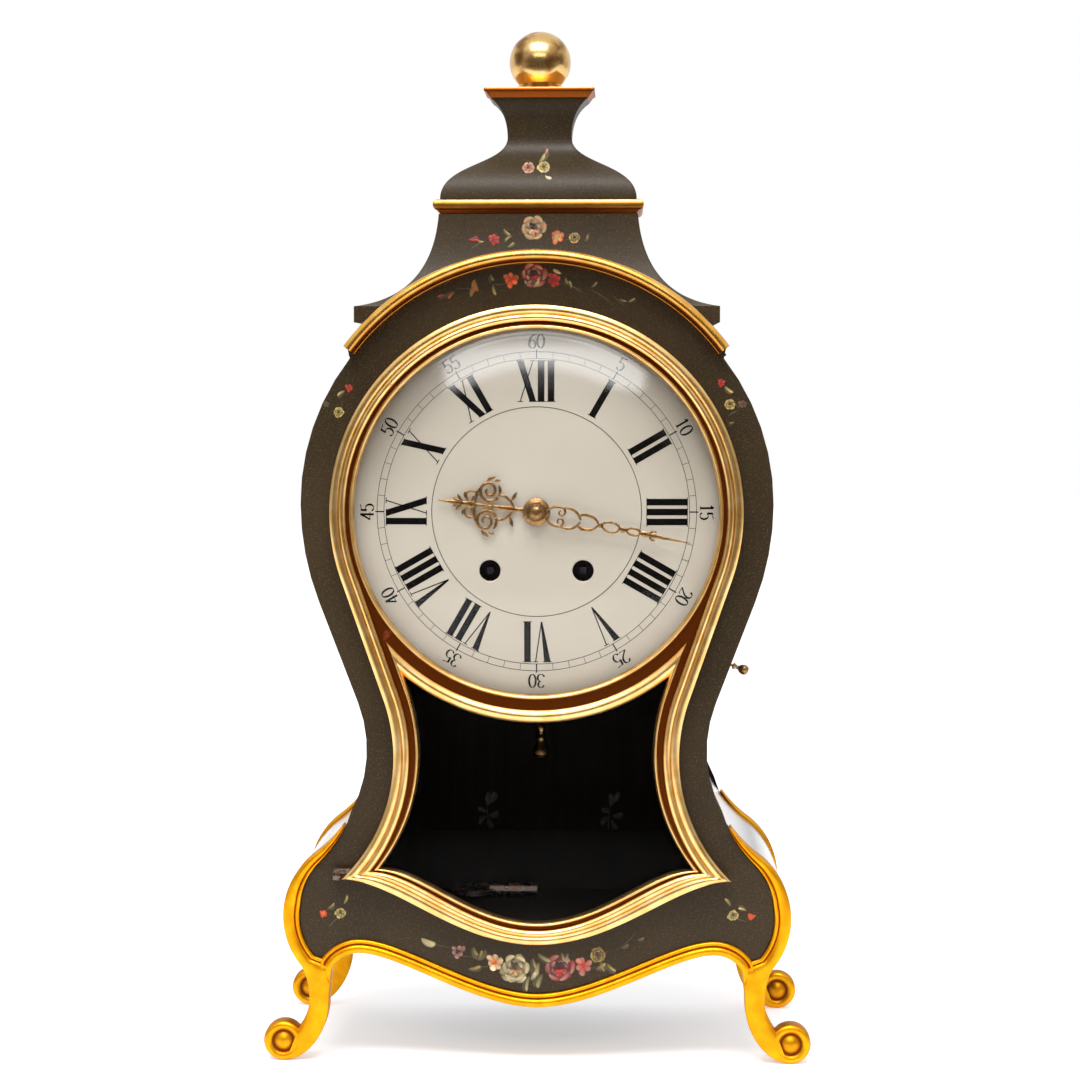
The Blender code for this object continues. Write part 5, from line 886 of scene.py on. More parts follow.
low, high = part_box("dial_glass")
rim, thick = dial_opening - 0.3 * MM, 2 * MM
seat_y = high.y - thick
rise = seat_y - low.y
bulge = (rim ** 2 + rise ** 2) / (2 * rise)
turn = np.linspace(0, np.arcsin(rim / bulge), 40)
outer = np.column_stack([bulge * np.sin(turn), seat_y - (bulge * np.cos(turn) - bulge + rise)])
inner = np.column_stack([outer[:, 0] * (1 - thick / rim), outer[:, 1] + thick])
rows = np.concatenate([outer, [(high.x, seat_y), (high.x, high.y)], inner[::-1]])
dial_clear = glass("dial_clear_glass", 0.3, 2.4, dial_z, 68 * MM, 78 * MM)
dome_glass = piece("bulged_glass", [spun(rows, (0, 0, dial_z), "y", 160)], dial_clear, 40)
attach(dome_glass, "front_door")
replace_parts(dome_glass, "dial_glass")
window_clear = glass("window_clear_glass", 0.04, 0.04, 0.15, 1.0, 2.0)
dressed(window_clear, "window_glass")

# Dial: a convex copper plate, fired with cream enamel, pierced for the arbors, on three riveted feet.
# Hours, minute track and minute figures are painted in black and fired on.
enamel, inputs, place = finish("cream_enamel")
bloom = grain(place, 18, 3)
pores = grain(place, 2400, 2)
glaze = mixed(rising(bloom, 0.3, 0.75), shade(226, 216, 202), shade(219, 208, 193))
feed(inputs["Base Color"], mixed(rising(pores, 0.7, 0.85) * 0.3, glaze, shade(176, 164, 144)))
feed(inputs["Roughness"], 0.24 + 0.12 * bloom)
feed(inputs["Normal"], dented(grain(place, 60, 2), 0.00003))
dial_radius, dial_rise, dial_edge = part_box("dial_plate")[1].x, 2 * MM, front_y + 2.5 * MM
dial_bend = (dial_radius ** 2 + dial_rise ** 2) / (2 * dial_rise)
dial_thick, centre_hole = 1.5 * MM, 6 * MM
post_ring, post_radius = 44 * MM, 2 * MM
winding_x, winding_drop, winding_radius, drill_reach = 23.5 * MM, 29.7 * MM, 5.4 * MM, 9 * MM


def dial_face(radius):
    """Depth of the dial's face at a radius: a shallow cap of a ball."""
    return dial_edge - (np.sqrt(dial_bend ** 2 - radius ** 2) - dial_bend + dial_rise)


def peg(radius, front, back):
    """Profile of a plain round rod between two depths."""
    return [(0, front), (radius, front), (radius, back), (0, back)]


radii = np.linspace(centre_hole, dial_radius, 60)
face = np.column_stack([radii, dial_face(radii)])
back = (face + (0, dial_thick))[::-1]
dial_skins = [spun(np.concatenate([face, back, face[:1]]), (0, 0, dial_z), "y", 180)]
plate_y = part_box("movement_front_plate")[0].y
post = peg(post_radius, dial_edge - 0.2 * MM, plate_y - 0.3 * MM)
for degrees in (25, 155, 270):
    spot = np.array([np.cos(np.radians(degrees)), np.sin(np.radians(degrees))]) * post_ring
    dial_skins.append(spun(post, (spot[0], 0, dial_z + spot[1]), "y", 24))
dial = piece("enamel_dial", dial_skins, enamel)
drill = peg(winding_radius, dial_edge - drill_reach, dial_edge + drill_reach)
for sign in (-1, 1):
    cutter = piece("drill", [spun(drill, (sign * winding_x, 0, dial_z - winding_drop), "y", 48)], enamel)
    hole = dial.modifiers.new("hole", "BOOLEAN")
    hole.operation, hole.solver, hole.object = "DIFFERENCE", "EXACT", cutter
    graph = bpy.context.evaluated_depsgraph_get()
    drilled = bpy.data.meshes.new_from_object(dial.evaluated_get(graph))
    dial.modifiers.clear()
    dial.data = drilled
    bpy.data.objects.remove(cutter)
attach(dial, "case")
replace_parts(dial, "dial_plate")

black, inputs, place = finish("fired_black")
faded = rising(grain(place, 700, 3), 0.45, 0.8)
feed(inputs["Base Color"], mixed(faded, shade(6, 5, 5), shade(24, 22, 21)))
feed(inputs["Roughness"], 0.3 + 0.2 * grain(place, 300))
inputs["Specular IOR Level"].default_value = 0.1


def on_dial(across, outward, degrees):
    """Points of print: across and outward distances, turned clockwise from twelve and laid on the dial."""
    turn = np.radians(degrees)
    x = outward * np.sin(turn) + across * np.cos(turn)
    z = outward * np.cos(turn) - across * np.sin(turn)
    return np.stack([x, dial_face(np.hypot(x, z)) - 0.07 * MM, z + dial_z], axis=-1)


def facing(points, quads, tint):
    """The same skin with its faces turned to the front."""
    first, second, third = (points[quads[:, i]] for i in range(3))
    away = np.cross(second - first, third - first)[:, 1] > 0
    turned = quads.copy()
    turned[away, 0], turned[away, 2] = quads[away, 2], quads[away, 0]
    return points, turned, tint


def stroke(low_u, high_u, low_w, high_w, low_v, high_v, degrees):
    """A painted bar: its middle and width run evenly from the foot to the head of the figure."""
    s = np.linspace(0, 1, 9)[:, None]
    t = np.linspace(-0.5, 0.5, 3)[None]
    across = low_u + (high_u - low_u) * s + (low_w + (high_w - low_w) * s) * t
    outward = np.broadcast_to(low_v + (high_v - low_v) * s, across.shape)
    return facing(*skin(on_dial(across * MM, outward * MM, degrees)))


bold, fine, taper, foot_v, head_v, serif_half = 3.3, 0.55, 0.8, 55.6, 76.0, 0.2
numerals = ["XII", "I", "II", "III", "IIII", "V", "VI", "VII", "VIII", "IX", "X", "XI"]
advance, margin = {"I": 5.0, "V": 9.2, "X": 9.6}, 1.6
bars = {"I": [(0, 0, bold, bold)],
        "V": [(0, -1, taper, bold), (0, 1, fine, fine)],
        "X": [(1, -1, bold, bold), (-1, 1, fine, fine)]}
serifs = {"I": [(0, 4.6, foot_v), (0, 4.6, head_v)],
          "V": [(-1, 4.4, head_v), (1, 2.6, head_v)],
          "X": [(-1, 2.8, foot_v), (1, 4.2, foot_v), (-1, 4.2, head_v), (1, 2.8, head_v)]}
ink = []
for hour, numeral in enumerate(numerals):
    start = -sum(advance[letter] for letter in numeral) / 2
    for letter in numeral:
        middle, reach = start + advance[letter] / 2, advance[letter] / 2 - margin
        start += advance[letter]
        for low, high, low_wide, high_wide in bars[letter]:
            ink.append(stroke(middle + low * reach, middle + high * reach, low_wide, high_wide,
                              foot_v, head_v, hour * 30))
        for aside, wide, v in serifs[letter]:
            u = middle + aside * reach
            ink.append(stroke(u, u, wide, wide, v - serif_half, v + serif_half, hour * 30))
chapter_ring, track_in, track_out, figure_foot, figure_tall = 52.9, 77.1, 80.6, 82.3, 7
for minute in range(60):
    wide, longer = (0.6, 0.9) if minute % 5 == 0 else (0.22, 0)
    ink.append(stroke(0, 0, wide, wide, track_in, track_out + longer, minute * 6))
for radius, wide in ((chapter_ring, 0.32), (track_in, 0.26), (track_out, 0.26)):
    edges = np.array([[radius - wide / 2], [radius + wide / 2]]) * MM
    ink.append(facing(*skin(on_dial(0, edges, np.arange(360)), (False, True))))


def round_stroke(middle, reach, start, end, steps=28):
    """Part of an oval in the figure's own box, from one angle to another."""
    return oval(middle, *reach, np.linspace(start, end, steps))


def pen(line):
    """A stroke of a broad pen along a line: full where it runs upright and fine where it runs across."""
    side = leftward(line)
    half = 0.022 + 0.05 * np.abs(side[:, :1]) ** 1.5
    return np.stack([line - side * half, line + side * half], axis=1)


digits = {
    "0": [round_stroke((0.3, 0.5), (0.24, 0.48), 0, 360, 48)],
    "1": [bow((0.32, 0), (0.32, 0.3), (0.32, 0.6), (0.32, 0.98), 8),
          bow((0.14, 0.78), (0.22, 0.82), (0.28, 0.9), (0.32, 0.98), 8),
          bow((0.16, 0.02), (0.26, 0.02), (0.38, 0.02), (0.48, 0.02), 4)],
    "2": [np.concatenate([round_stroke((0.3, 0.72), (0.22, 0.26), 170, -25),
                          bow((0.5, 0.6), (0.42, 0.36), (0.16, 0.2), (0.07, 0.04), 14)]),
          bow((0.06, 0.05), (0.2, 0.12), (0.4, -0.04), (0.54, 0.1), 10)],
    "3": [round_stroke((0.28, 0.76), (0.2, 0.22), 165, -80),
          round_stroke((0.28, 0.27), (0.24, 0.26), 90, -165)],
    "4": [bow((0.4, 0), (0.4, 0.3), (0.4, 0.7), (0.4, 0.98), 8),
          bow((0.4, 0.98), (0.28, 0.7), (0.14, 0.45), (0.02, 0.28), 8),
          bow((0.02, 0.28), (0.2, 0.28), (0.4, 0.28), (0.58, 0.28), 6)],
    "5": [bow((0.12, 0.94), (0.24, 0.9), (0.38, 0.92), (0.5, 0.99), 8),
          bow((0.12, 0.94), (0.11, 0.8), (0.1, 0.65), (0.1, 0.52), 6),
          round_stroke((0.27, 0.3), (0.24, 0.3), 135, -150)],
    "6": [round_stroke((0.3, 0.29), (0.23, 0.28), 0, 360, 40),
          bow((0.08, 0.34), (0.06, 0.66), (0.26, 0.92), (0.48, 0.98), 14)]}
for minute in range(5, 65, 5):
    for order, digit in enumerate(str(minute)):
        start = 0.6 * (order - len(str(minute)) / 2)
        for line in digits[digit]:
            mark = pen(line)
            across = (mark[..., 0] + start) * figure_tall * MM
            outward = (figure_foot + figure_tall * mark[..., 1]) * MM
            ink.append(facing(*skin(on_dial(across, outward, minute * 6))))
print_layer = piece("dial_figures", ink, black, solid=False)
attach(print_layer, "case")

# Hands: pierced and chased brass, fire gilt, scrolled for the hour and chain-linked for the minute.
# The hour hand grips its pipe, the minute hand sits on a square under a domed nut.
fire_gilt, inputs, place = finish("fire_gilt_brass", 1.0)
chased = grain(place, 900, 3)
feed(inputs["Base Color"], mixed(rising(chased, 0.4, 0.8), shade(176, 136, 90), shade(80, 57, 38)))
feed(inputs["Roughness"], 0.24 + 0.2 * chased)
feed(inputs["Normal"], dented(chased, 0.00005))


def wire(line, widths, thick, depth, degrees, sides=10):
    """A chased wire: an oval section carried along a line in the hand's own plane, then turned to its hour.

    Point = line + width x cosine x normal, at the hand's depth plus half its thickness x sine.
    """
    around = np.linspace(0, 2 * np.pi, sides, endpoint=False)
    half = np.broadcast_to(widths, len(line))[:, None, None]
    flat = (line[:, None] + leftward(line)[:, None] * half * np.cos(around)[None, :, None]) * MM
    turn = np.radians(degrees)
    x = flat[..., 0] * np.cos(turn) - flat[..., 1] * np.sin(turn)
    z = flat[..., 0] * np.sin(turn) + flat[..., 1] * np.cos(turn) + dial_z
    y = depth + thick / 2 * np.sin(around) + 0 * x
    return skin(np.stack([x, y, z], axis=-1), (False, True))


def curl(centre, first_radius, last_radius, start, end, steps):
    """A spiral in the hand's plane: the radius runs evenly from one value to another as the angle turns."""
    radius = np.linspace(first_radius, last_radius, steps)
    return oval(centre, radius, radius, np.linspace(start, end, steps))


def straight(start, end, steps):
    """Points at even distances along the middle of a hand."""
    return np.column_stack([np.linspace(start, end, steps), np.zeros(steps)])


def collet(rows, depth):
    """The round eye of a hand: radii and heights in millimetres, spun round the dial's middle."""
    rows = [(radius * MM, depth - height * MM) for radius, height in rows]
    return spun(rows + rows[:1], (0, 0, dial_z), "y", 64)


def swell(steps, middle, ends):
    """Half widths of a stroke that is fullest in the middle."""
    return ends + (middle - ends) * np.sin(np.linspace(0, np.pi, steps))


def scrollwork(bows, curls, thick, depth, degrees):
    """Wires on both sides of a hand: bows that swell in the middle and curls that grow thinner inwards.

    A bow holds four knots, its steps and its half widths in the middle and at the ends. A curl holds its
    middle, its first and last radius and angle, its steps and its first and last half width.
    """
    wires = []
    for side in (-1, 1):
        for *knots, steps, full, thin in bows:
            knots = np.array(knots) * (1, side)
            line = bow(*knots, steps)
            wires.append(wire(line, swell(steps + 1, full, thin), thick, depth, degrees))
        for middle, wide, narrow, start, end, steps, full, thin in curls:
            line = curl((middle[0], middle[1] * side), wide, narrow, start * side, end * side, steps)
            wires.append(wire(line, np.linspace(full, thin, steps), thick, depth, degrees))
    return wires


low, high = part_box("hour_hand")
hour_y, hour_thick = (low.y + high.y) / 2, high.y - low.y
hour_deg, minute_deg = 173, -11.3
blade = straight(5, 50, 60)
blade_half = np.interp(blade[:, 0], [5, 9, 12, 22, 30, 33, 36, 39, 50],
                       [1.8, 0.9, 1.6, 0.8, 0.8, 2.2, 0.9, 1.3, 0.2])
hour_bows = [
    ((11, 0), (14, 5), (16, 6.5), (20.5, 6.2), 24, 0.8, 0.4),
    ((13.5, 3.6), (11.5, 6.5), (12, 7.5), (10.8, 8.6), 12, 0.9, 0.25),
    ((26.5, 12.4), (25.2, 13.8), (24.2, 14.4), (22.4, 15.2), 12, 1.0, 0.25),
    ((22.6, 12.8), (21.6, 13.4), (20.6, 13.6), (19.6, 13.4), 12, 0.8, 0.2),
    ((19.6, 5.4), (19.2, 8), (19.4, 9.5), (20.4, 11), 12, 0.8, 0.3),
    ((31, 1), (31.5, 3.5), (31, 6), (29.6, 8.6), 12, 0.8, 0.4),
    ((35, 2), (36.5, 3.4), (37, 4.6), (36.6, 6), 12, 0.9, 0.2),
    ((21, 0), (24, 1.5), (27, 3.5), (29.4, 5.4), 20, 0.7, 0.4),
    ((37, 0), (38.5, 1.2), (39.5, 2.4), (40.4, 4.2), 12, 0.9, 0.2),
    ((37, 0), (39, 0.6), (41, 1.3), (42.6, 2.2), 12, 0.8, 0.2)]
hour_curls = [((24.8, 7.7), 5.6, 1.2, -150, 400, 80, 0.9, 0.6),
              ((33.6, 3.6), 3.6, 0.9, 165, -210, 50, 0.65, 0.45)]
hour_skins = [wire(blade, blade_half, hour_thick, hour_y, hour_deg)]
hour_skins += scrollwork(hour_bows, hour_curls, hour_thick, hour_y, hour_deg)
hour_eye = [(3.0, 0.75), (5.2, 0.75), (6.6, 0.5), (7.0, 0.0), (6.6, -0.4), (3.0, -0.4)]
hour_skins.append(collet(hour_eye, hour_y))
hour_hand = piece("hour_hand_scrolled", hour_skins, fire_gilt, 60)
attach(hour_hand, "hour_hand")
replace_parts(hour_hand, "hour_hand")

low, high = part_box("minute_hand")
minute_y, minute_thick = (low.y + high.y) / 2, high.y - low.y
minute_skins = []
for middle, reach, rise in ((38.2, 4.4, 2.4), (49.8, 3.4, 1.7)):
    loop = oval((middle, 0), reach, rise, np.linspace(0, 360, 60))
    minute_skins.append(wire(loop, 0.62, minute_thick, minute_y, minute_deg))
for start, end in ((31.6, 34), (42.4, 46.6), (53, 58.6)):
    link = straight(start, end, 12)
    minute_skins.append(wire(link, swell(12, 1.5, 0.7), minute_thick, minute_y, minute_deg))
needle = straight(58, 79, 40)
needle_half = np.interp(needle[:, 0], [58, 60, 62, 70, 79], [0.8, 1.3, 1.0, 0.6, 0.2])
minute_skins.append(wire(needle, needle_half, minute_thick, minute_y, minute_deg))
minute_bows = [
    ((4.5, 1.2), (7, 4.6), (10, 5.4), (13, 4.6), 24, 0.7, 0.5),
    ((13, 4.6), (17.5, 6.0), (21, 4.2), (22.6, 0.4), 24, 0.75, 0.5),
    ((21.5, 2.6), (23, 3.8), (24.2, 4.2), (25.6, 4.0), 12, 0.7, 0.2),
    ((21.4, 2.2), (24, 4.4), (29.5, 4.4), (31.8, 0.3), 24, 0.8, 0.5),
    ((58, 0.2), (58.6, 2.2), (60, 2.6), (61.4, 1.9), 12, 0.6, 0.25)]
minute_curls = [((12.4, 2.4), 2.3, 0.7, 75, -250, 40, 0.6, 0.4)]
minute_skins += scrollwork(minute_bows, minute_curls, minute_thick, minute_y, minute_deg)
minute_eye = [(1.6, 0.6), (4.4, 0.6), (5.6, 0.4), (6.0, 0.0), (5.6, -0.4), (1.6, -0.4)]
minute_skins.append(collet(minute_eye, minute_y))
minute_hand = piece("minute_hand_chain", minute_skins, fire_gilt, 60)
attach(minute_hand, "minute_hand")
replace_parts(minute_hand, "minute_hand")
low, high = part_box("hand_nut")
tall = high.y - low.y
nut = [(0, 1), (1.6, 0.97), (2.8, 0.82), (3.6, 0.55), (3.9, 0.32), (4.2, 0.25), (4.2, 0), (1.2, 0)]
nut = [(radius * MM, high.y - tall * share) for radius, share in nut]
hand_nut = piece("domed_hand_nut", [spun(nut, (0, 0, dial_z), "y", 48)], fire_gilt, 40)
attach(hand_nut, "minute_hand")
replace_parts(hand_nut, "hand_nut")

# Movement: two brass plates with steel arbors, brass wheels and two spring barrels between them.
# Plates and wheels are grained and lacquered; springs are blued and the bell is cast bronze.
blued, inputs, place = finish("blued_spring", 1.0)
feed(inputs["Base Color"], mixed(grain(place, 300, 3), shade(62, 68, 96), shade(96, 84, 82)))
feed(inputs["Roughness"], 0.24 + 0.2 * grain(place, 700))
bell_bronze, inputs, place = finish("cast_bronze", 1.0)
patina = rising(grain(place, 120, 5), 0.4, 0.75)
feed(inputs["Base Color"], mixed(patina, shade(172, 120, 70), shade(96, 66, 42)))
feed(inputs["Roughness"], 0.3 + 0.25 * patina)
feed(inputs["Normal"], dented(grain(place, 500, 3), 0.00004))
dressed(brass, "movement_front_plate", "movement_back_plate", "pendulum_cock", "cannon_pinion",
        "minute_wheel", "hour_wheel", "going_barrel", "strike_barrel", "intermediate_wheel",
        "center_wheel", "third_wheel", "escape_wheel", "pin_wheel", "fly")
dressed(steel, "going_click", "strike_click", "anchor", "pendulum_rod", "hammer")
dressed(blued, "going_mainspring", "strike_mainspring", "going_winding_arbor", "strike_winding_arbor")
dressed(bell_bronze, "bell")

# Pendulum bob: a small turned and gilt brass pendant, like a tassel, screwed on the end of the rod.
# It hangs in the middle of the lower window.
low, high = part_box("pendulum_bob")
tall = high.z - low.z
wanted = np.linspace(0, 1, 41)
heights = [0, 0.1, 0.2, 0.3, 0.42, 0.5, 0.56, 0.66, 0.7, 0.76, 0.86, 0.94, 1]
widths = [0.8, 1.0, 0.96, 0.8, 0.6, 0.52, 0.62, 0.36, 0.34, 0.44, 0.5, 0.42, 0.26]
turned = np.column_stack([np.interp(wanted, heights, widths) * high.x, low.z + tall * wanted])
turned = np.concatenate([[(0, low.z)], turned, [(0, high.z)]])
bob = piece("pendant_bob", [spun(turned, (0, (low.y + high.y) / 2, 0), "z", 32)], fire_gilt, 50)
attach(bob, "pendulum")
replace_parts(bob, "pendulum_bob")

# Winding key: cast and filed brass, left on the floor of the case.
# It is nickelled, and the plating has gone pinkish where it is worn.
nickel, inputs, place = finish("worn_nickel", 1.0)
thin = rising(grain(place, 180, 4), 0.4, 0.7)
feed(inputs["Base Color"], mixed(thin, shade(206, 190, 182), shade(176, 134, 112)))
feed(inputs["Roughness"], 0.24 + 0.2 * thin)
dressed(nickel, "winding_key")

# Repeat pull: a brass wire that leaves the case side, with a small turned knob.
# A spring inside the case draws it back after each pull.
pull_low, pull_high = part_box("repeat_pull")
pull_way = np.array([0.934578, 0, -0.355757])
pull_side = np.array([0.355757, 0, 0.934578])
pull_end = np.array([pull_high.x - 0.9 * MM, 2 * MM, pull_low.z + 2.55 * MM])
rows = [(0, -41), (0.7, -41), (0.7, -33.8), (2.4, -33.8), (2.4, -31), (0.7, -31), (0.7, -9),
        (1.5, -8.8), (1.7, -8), (1.2, -7.2), (0.9, -6.4), (1.1, -5.6), (2.1, -4.6), (2.7, -3),
        (2.6, -1.6), (1.8, -0.4), (0, 0)]
points, quads, tint = spun([(radius * MM, height * MM) for radius, height in rows], (0, 0, 0), "z", 24)
placed = pull_end + points[:, :1] * pull_side + points[:, 1:2] * (0, 1, 0) + points[:, 2:] * pull_way
pull = piece("repeat_knob", [(placed, quads, tint)], fire_gilt, 50)
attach(pull, "repeat_pull")
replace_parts(pull, "repeat_pull")

# Flower sprays: roses, daisies, buds and leaves painted in oil colours on the lacquer.
# Every petal is one loaded brush stroke that stands a little proud of the ground.
paint, inputs, place = finish("flower_paint")
pigment = place.node("ShaderNodeAttribute", {"attribute_name": "tint"}, {}, "Color")
bristle = grain(place, 2200, 3)
feed(inputs["Base Color"], mixed(rising(bristle, 0.5, 0.85) * 0.5, pigment, shade(58, 46, 34)))
feed(inputs["Roughness"], 0.35 + 0.25 * bristle)
feed(inputs["Normal"], dented(bristle, 0.00006))


def brush(x, z, turn, length, half, bend, lift, root, tip):
    """Rows of brush strokes: place, direction, length, half width, bend, layer, colours of root and tip."""
    columns = np.broadcast_arrays(*np.atleast_1d(x, z, turn, length, half, bend, lift))
    colours = np.broadcast_to([*root[:3], *tip[:3]], (len(columns[0]), 6))
    return np.column_stack([*columns, colours])


def rose(x, z, size, deep, middle, light, heart):
    """Strokes of a full rose: a dark ground, two rings of crescent petals with gaps and a glowing heart."""
    ring = np.arange(6) * 60.0
    outer, inner = np.radians(ring - 30), np.radians(ring)
    outer_x, outer_z = x + 0.76 * size * np.cos(outer), z + 0.76 * size * np.sin(outer)
    inner_x, inner_z = x + 0.44 * size * np.cos(inner), z + 0.44 * size * np.sin(inner)
    return np.concatenate([
        brush(x, z, ring + 15, 0.9 * size, 0.44 * size, 0, 0, deep, middle),
        brush(outer_x, outer_z, ring + 62, 0.8 * size, 0.22 * size, 30, 1, light, middle),
        brush(inner_x, inner_z, ring + 92, 0.5 * size, 0.17 * size, 30, 2, light, deep),
        brush(x, z - 0.12 * size, [205, 265, 325], 0.42 * size, 0.17 * size, 20, 3, heart, middle),
        brush(x - 0.05 * size, z + 0.22 * size, ring[::2], 0.26 * size, 0.15 * size, 40, 3, deep, deep)])


def daisy(x, z, size, petal, heart):
    """Strokes of a small open flower: six petals of unequal length round a heart of small dabs."""
    ring = np.arange(6) * 60.0
    reach = size * np.array([1.0, 0.8, 0.95, 0.72, 1.0, 0.85])
    return np.concatenate([brush(x, z, ring + 12, reach, 0.42 * size, 10, 1, heart, petal),
                           brush(x, z, ring[::2], 0.36 * size, 0.2 * size, 0, 2, heart, heart)])


def leaves(places, length, root, tip):
    """Strokes of leaves at places and directions: a dark blade with a lighter stroke along one side."""
    x, z, turn = np.array(places, float).T
    return np.concatenate([brush(x, z, turn - 24, length, 0.27 * length, 24, 1, root, root),
                           brush(x, z, turn - 16, 0.95 * length, 0.19 * length, 20, 2, root, tip)])


def painted(name, rows, depth_at):
    """A mesh of all strokes: place + share x length along the bent direction + width x a bulge across.

    Each stroke lies on the surface, stands proud of it by a small mound, thins out at its sides and
    differs a little from its neighbours by chance.
    """
    rows = np.concatenate(rows)
    chance = np.random.default_rng(11).normal(size=(len(rows), 4))
    rows[:, 2] += 7 * chance[:, 0]
    rows[:, 3:5] *= 1 + 0.1 * chance[:, 1:3]
    rows[:, 7:] *= np.exp(0.2 * chance[:, 3:])
    x, z, turn, length, half, bend, lift = rows[:, :7].T[..., None, None]
    s, t = np.linspace(0, 1, 8)[None, :, None], np.linspace(-1, 1, 5)[None, None]
    way = np.radians(turn + bend * s)
    across = half * np.sqrt(np.maximum(1 - (2 * s - 1) ** 2, 0)) * (0.55 + 0.45 * s) * t
    along_x = (x + length * s * np.cos(way) - across * np.sin(way)) * MM
    along_z = (z + length * s * np.sin(way) + across * np.cos(way)) * MM
    proud = (0.05 + 0.05 * lift + 0.12 * np.sin(np.pi * s) * (1 - t ** 2)) * MM
    points = np.stack([along_x, depth_at(along_z) - proud, along_z], axis=-1)
    root, tip = rows[:, None, None, 7:10], rows[:, None, None, 10:13]
    colour = root * (1 - s[..., None]) + tip * s[..., None] + 0 * points
    thin = 0.7 * (t ** 2)[..., None]
    colour = colour * (1 - thin) + np.array(shade(54, 44, 29)[:3]) * thin
    colour = np.concatenate([colour, np.ones(colour.shape[:3] + (1,))], axis=-1)
    one = skin(points[0])[1]
    firsts = s.size * t.size * np.arange(len(rows))
    quads = (one[None] + firsts[:, None, None]).reshape(-1, 4)
    made = piece(name, [facing(points.reshape(-1, 3), quads, colour.reshape(-1, 4))], paint, solid=False)
    return made


def flat_board(depth):
    """Depth of a flat board: the same everywhere."""
    return lambda z: depth + 0 * z


def crown_face(edge):
    """Depth of a crown box's front face: its half width at a height, read off its edge, times the ratio."""
    return lambda z: middle_y - depth_ratio * np.interp(z, edge[::-1, 1], edge[::-1, 0])


cream, ivory, umber = shade(198, 180, 126), shade(228, 211, 168), shade(70, 55, 34)
crimson, maroon, blush = shade(150, 28, 34), shade(46, 14, 18), shade(196, 140, 124)
vermilion, orange, ochre = shade(204, 58, 34), shade(216, 104, 40), shade(150, 112, 50)
straw, olive, peach = shade(190, 164, 90), shade(84, 76, 42), shade(204, 146, 106)
front_spray = [
    brush([-30, -44, 30, 40, -20, 22], [53, 58, 52, 57, 49, 47], [165, 160, 25, 28, 170, 10],
          [12, 12, 12, 16, 12, 12], 0.35, 12, 0, olive, umber),
    leaves([(-1.6, 53.5, -70), (1.6, 51, -110), (3.4, 45, 240), (-3.4, 44, 250), (0.6, 56, -35)],
           8, olive, cream),
    brush([-18, -11, -3.4], [45, 41.6, 41.8], [-60, -15, 35], 6.6, 1.7, 30, 1, umber, ivory),
    rose(-11, 48, 8.0, umber, cream, ivory, shade(190, 104, 64)),
    rose(11.7, 48.2, 8.2, maroon, crimson, blush, vermilion),
    leaves([(13, 56.6, -75), (16.4, 56, -110)], 6, umber, cream),
    daisy(-21.6, 51, 5.2, ivory, orange), daisy(23.8, 49.6, 5.0, blush, vermilion),
    daisy(-40.2, 56.4, 3.9, blush, maroon), rose(31.2, 55, 4.4, umber, ochre, straw, umber),
    leaves([(33, 52, -80), (36, 51, -50), (30, 48, 20)], 6.4, olive, straw),
    leaves([(-32, 59, -75), (-35, 47.6, 15), (-30, 52, 60)], 6.6, olive, straw),
    leaves([(-58.8, 63.2, -28)], 8.2, cream, ivory), leaves([(43, 59, 20), (51, 63, 15)], 4, umber, ochre),
    brush([-12, -28, 12, 26, 38], [396, 393.4, 396, 393, 389], [190, 195, -15, -25, -30],
          [14, 16, 14, 14, 10], 0.35, -8, 0, olive, umber),
    rose(-1.4, 399.6, 6.9, maroon, crimson, peach, vermilion), daisy(-12.8, 397.4, 4.5, orange, vermilion),
    brush([-6, -2], [394.6, 393.4], [20, 10], 5.4, 1.2, 25, 2, umber, cream),
    daisy(8.9, 397.2, 3.9, vermilion, crimson), leaves([(8.4, 402.6, -30)], 4.4, cream, ivory),
    leaves([(-30.8, 397.4, -85), (-29.6, 395.4, -110)], 6.6, ochre, orange),
    leaves([(-22.8, 400.2, -80), (-21.6, 394.6, -95), (14.6, 398.6, -80), (17.4, 392.6, 110)],
           4.8, olive, straw),
    leaves([(27.2, 393.4, 30), (41.4, 387.8, -25), (45.5, 386.2, 20)], 4.2, umber, straw),
    leaves([(-40.6, 391, 205), (-44.6, 389.2, 190)], 5, umber, orange),
    daisy(-94.3, 343, 2.3, vermilion, crimson), leaves([(-96.2, 341.6, 222)], 5.2, olive, straw),
    rose(-99.6, 330.8, 2.9, umber, straw, straw, umber), daisy(-106, 334.8, 2.1, olive, umber),
    daisy(92.7, 345.6, 2.3, vermilion, crimson), leaves([(94.4, 344.2, -48)], 5.2, olive, straw),
    rose(97, 334.8, 2.9, umber, straw, straw, ochre), daisy(103.4, 335, 2.6, shade(120, 84, 58), umber),
    leaves([(99.6, 325.6, 190)], 4, umber, ochre),
    brush([-97, -104, 98, 102], [339, 332, 339, 332], [-100, -20, -75, 200], 8, 0.3, 10, 0, umber, olive)]
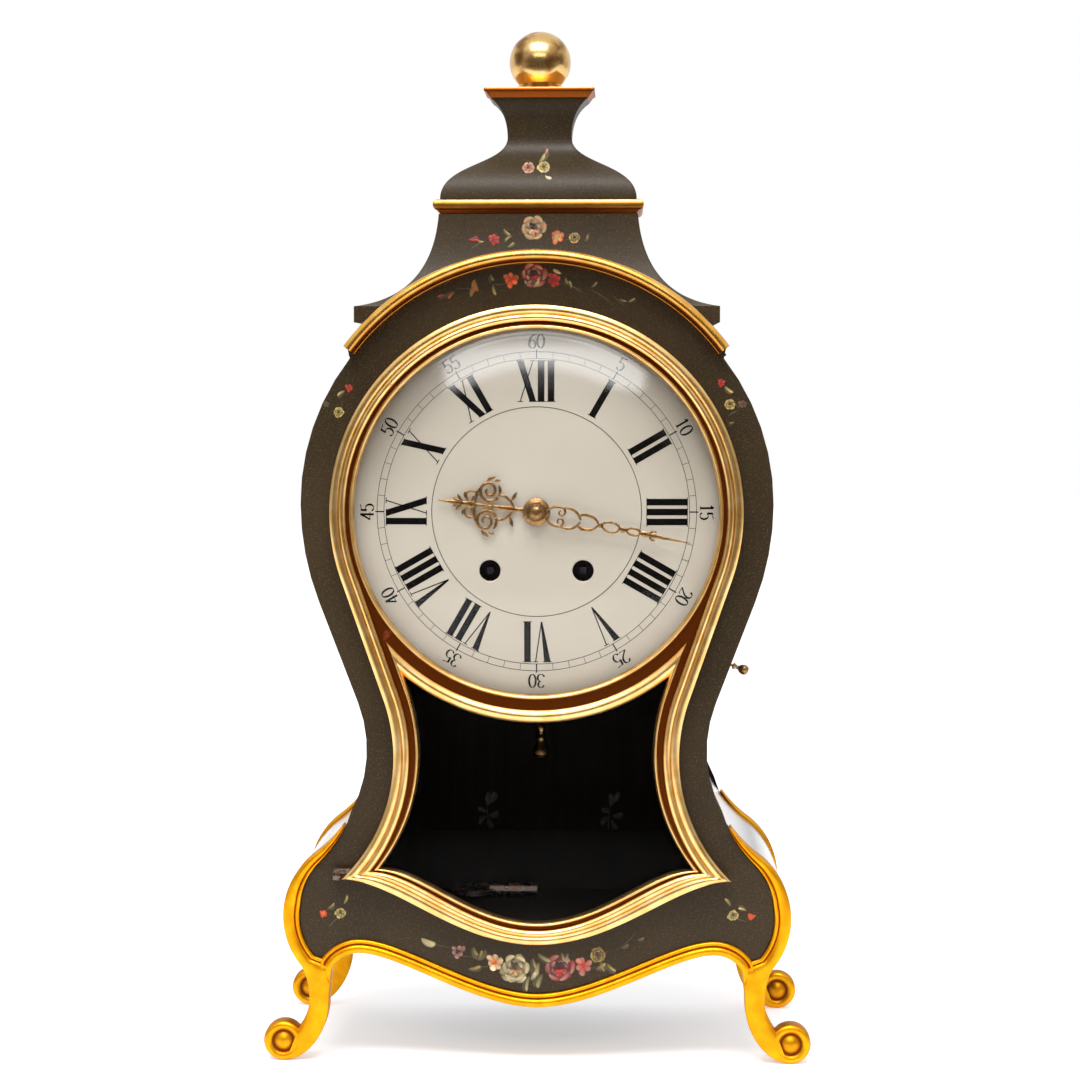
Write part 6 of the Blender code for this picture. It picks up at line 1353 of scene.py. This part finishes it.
for side in (-1, 1):
    front_spray += [
        daisy(side * 108.8, 75.4, 2.3, vermilion, orange),
        rose(side * 99.9, 75.8, 3.0, umber, straw, cream, ochre),
        leaves([(side * 106.6, 78.2, 90 + side * 62), (side * 98.4, 80.4, 90 + side * 24)], 5, olive, straw),
        brush(side * 98, 76, 90 - side * 112, 10, 0.3, 10, 0, umber, olive)]
sprays = painted("flower_sprays_front", front_spray, flat_board(front_y))
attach(sprays, "case")
sprays = painted("flower_sprays_base", [
    rose(-2.4, 424.4, 6.9, maroon, peach, cream, peach), daisy(-23, 418.8, 3.4, vermilion, crimson),
    daisy(9.8, 419.8, 4.2, vermilion, straw),
    leaves([(-17.6, 424.4, -50), (-13.2, 420.4, 215), (-16, 414.6, 30)], 5, olive, straw),
    leaves([(-35.6, 418.6, 10)], 5, crimson, vermilion), leaves([(-31, 418.2, -20)], 3.4, ochre, straw),
    rose(18.6, 419.4, 3.2, umber, ochre, straw, umber), leaves([(24, 417, 80)], 5, umber, ochre),
    brush([-26, 12], [418, 418.6], [185, -5], 10, 0.3, 10, 0, umber, olive)], crown_face(base_edge))
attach(sprays, "case")
sprays = painted("flower_sprays_bell", [
    leaves([(-0.4, 458.6, 55)], 7.4, olive, cream), leaves([(2.6, 463.2, 58)], 4.2, crimson, peach),
    rose(-5.4, 456, 3.6, umber, peach, blush, crimson), rose(2.6, 456.2, 3.6, umber, straw, cream, olive),
    leaves([(3.4, 451.6, -30)], 4, cream, ivory),
    brush([0, -2], [452, 458], [-95, 150], 7, 0.3, 8, 0, olive, umber)], crown_face(bell_edge))
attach(sprays, "case")
inner_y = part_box("back_door_panel")[0].y
faint = []
shaded, stem = shade(22, 18, 13), shade(30, 26, 18)
for middle, tip in ((-31, shade(62, 54, 36)), (37, shade(98, 44, 28))):
    low_leaves = [(middle, 108, 150), (middle, 106, 215), (middle + 1, 107, 15), (middle + 1, 105, -60)]
    faint += [leaves([(middle, 112, 85), (middle + 1.5, 114, 60)], 7, shade(24, 20, 14), tip),
              leaves(low_leaves, 6, shaded, shade(60, 53, 36)),
              brush(middle, 113, -92, 16, 0.4, 4, 0, stem, stem)]
sprays = painted("flower_sprays_back", faint, flat_board(inner_y))
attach(sprays, "back_door")
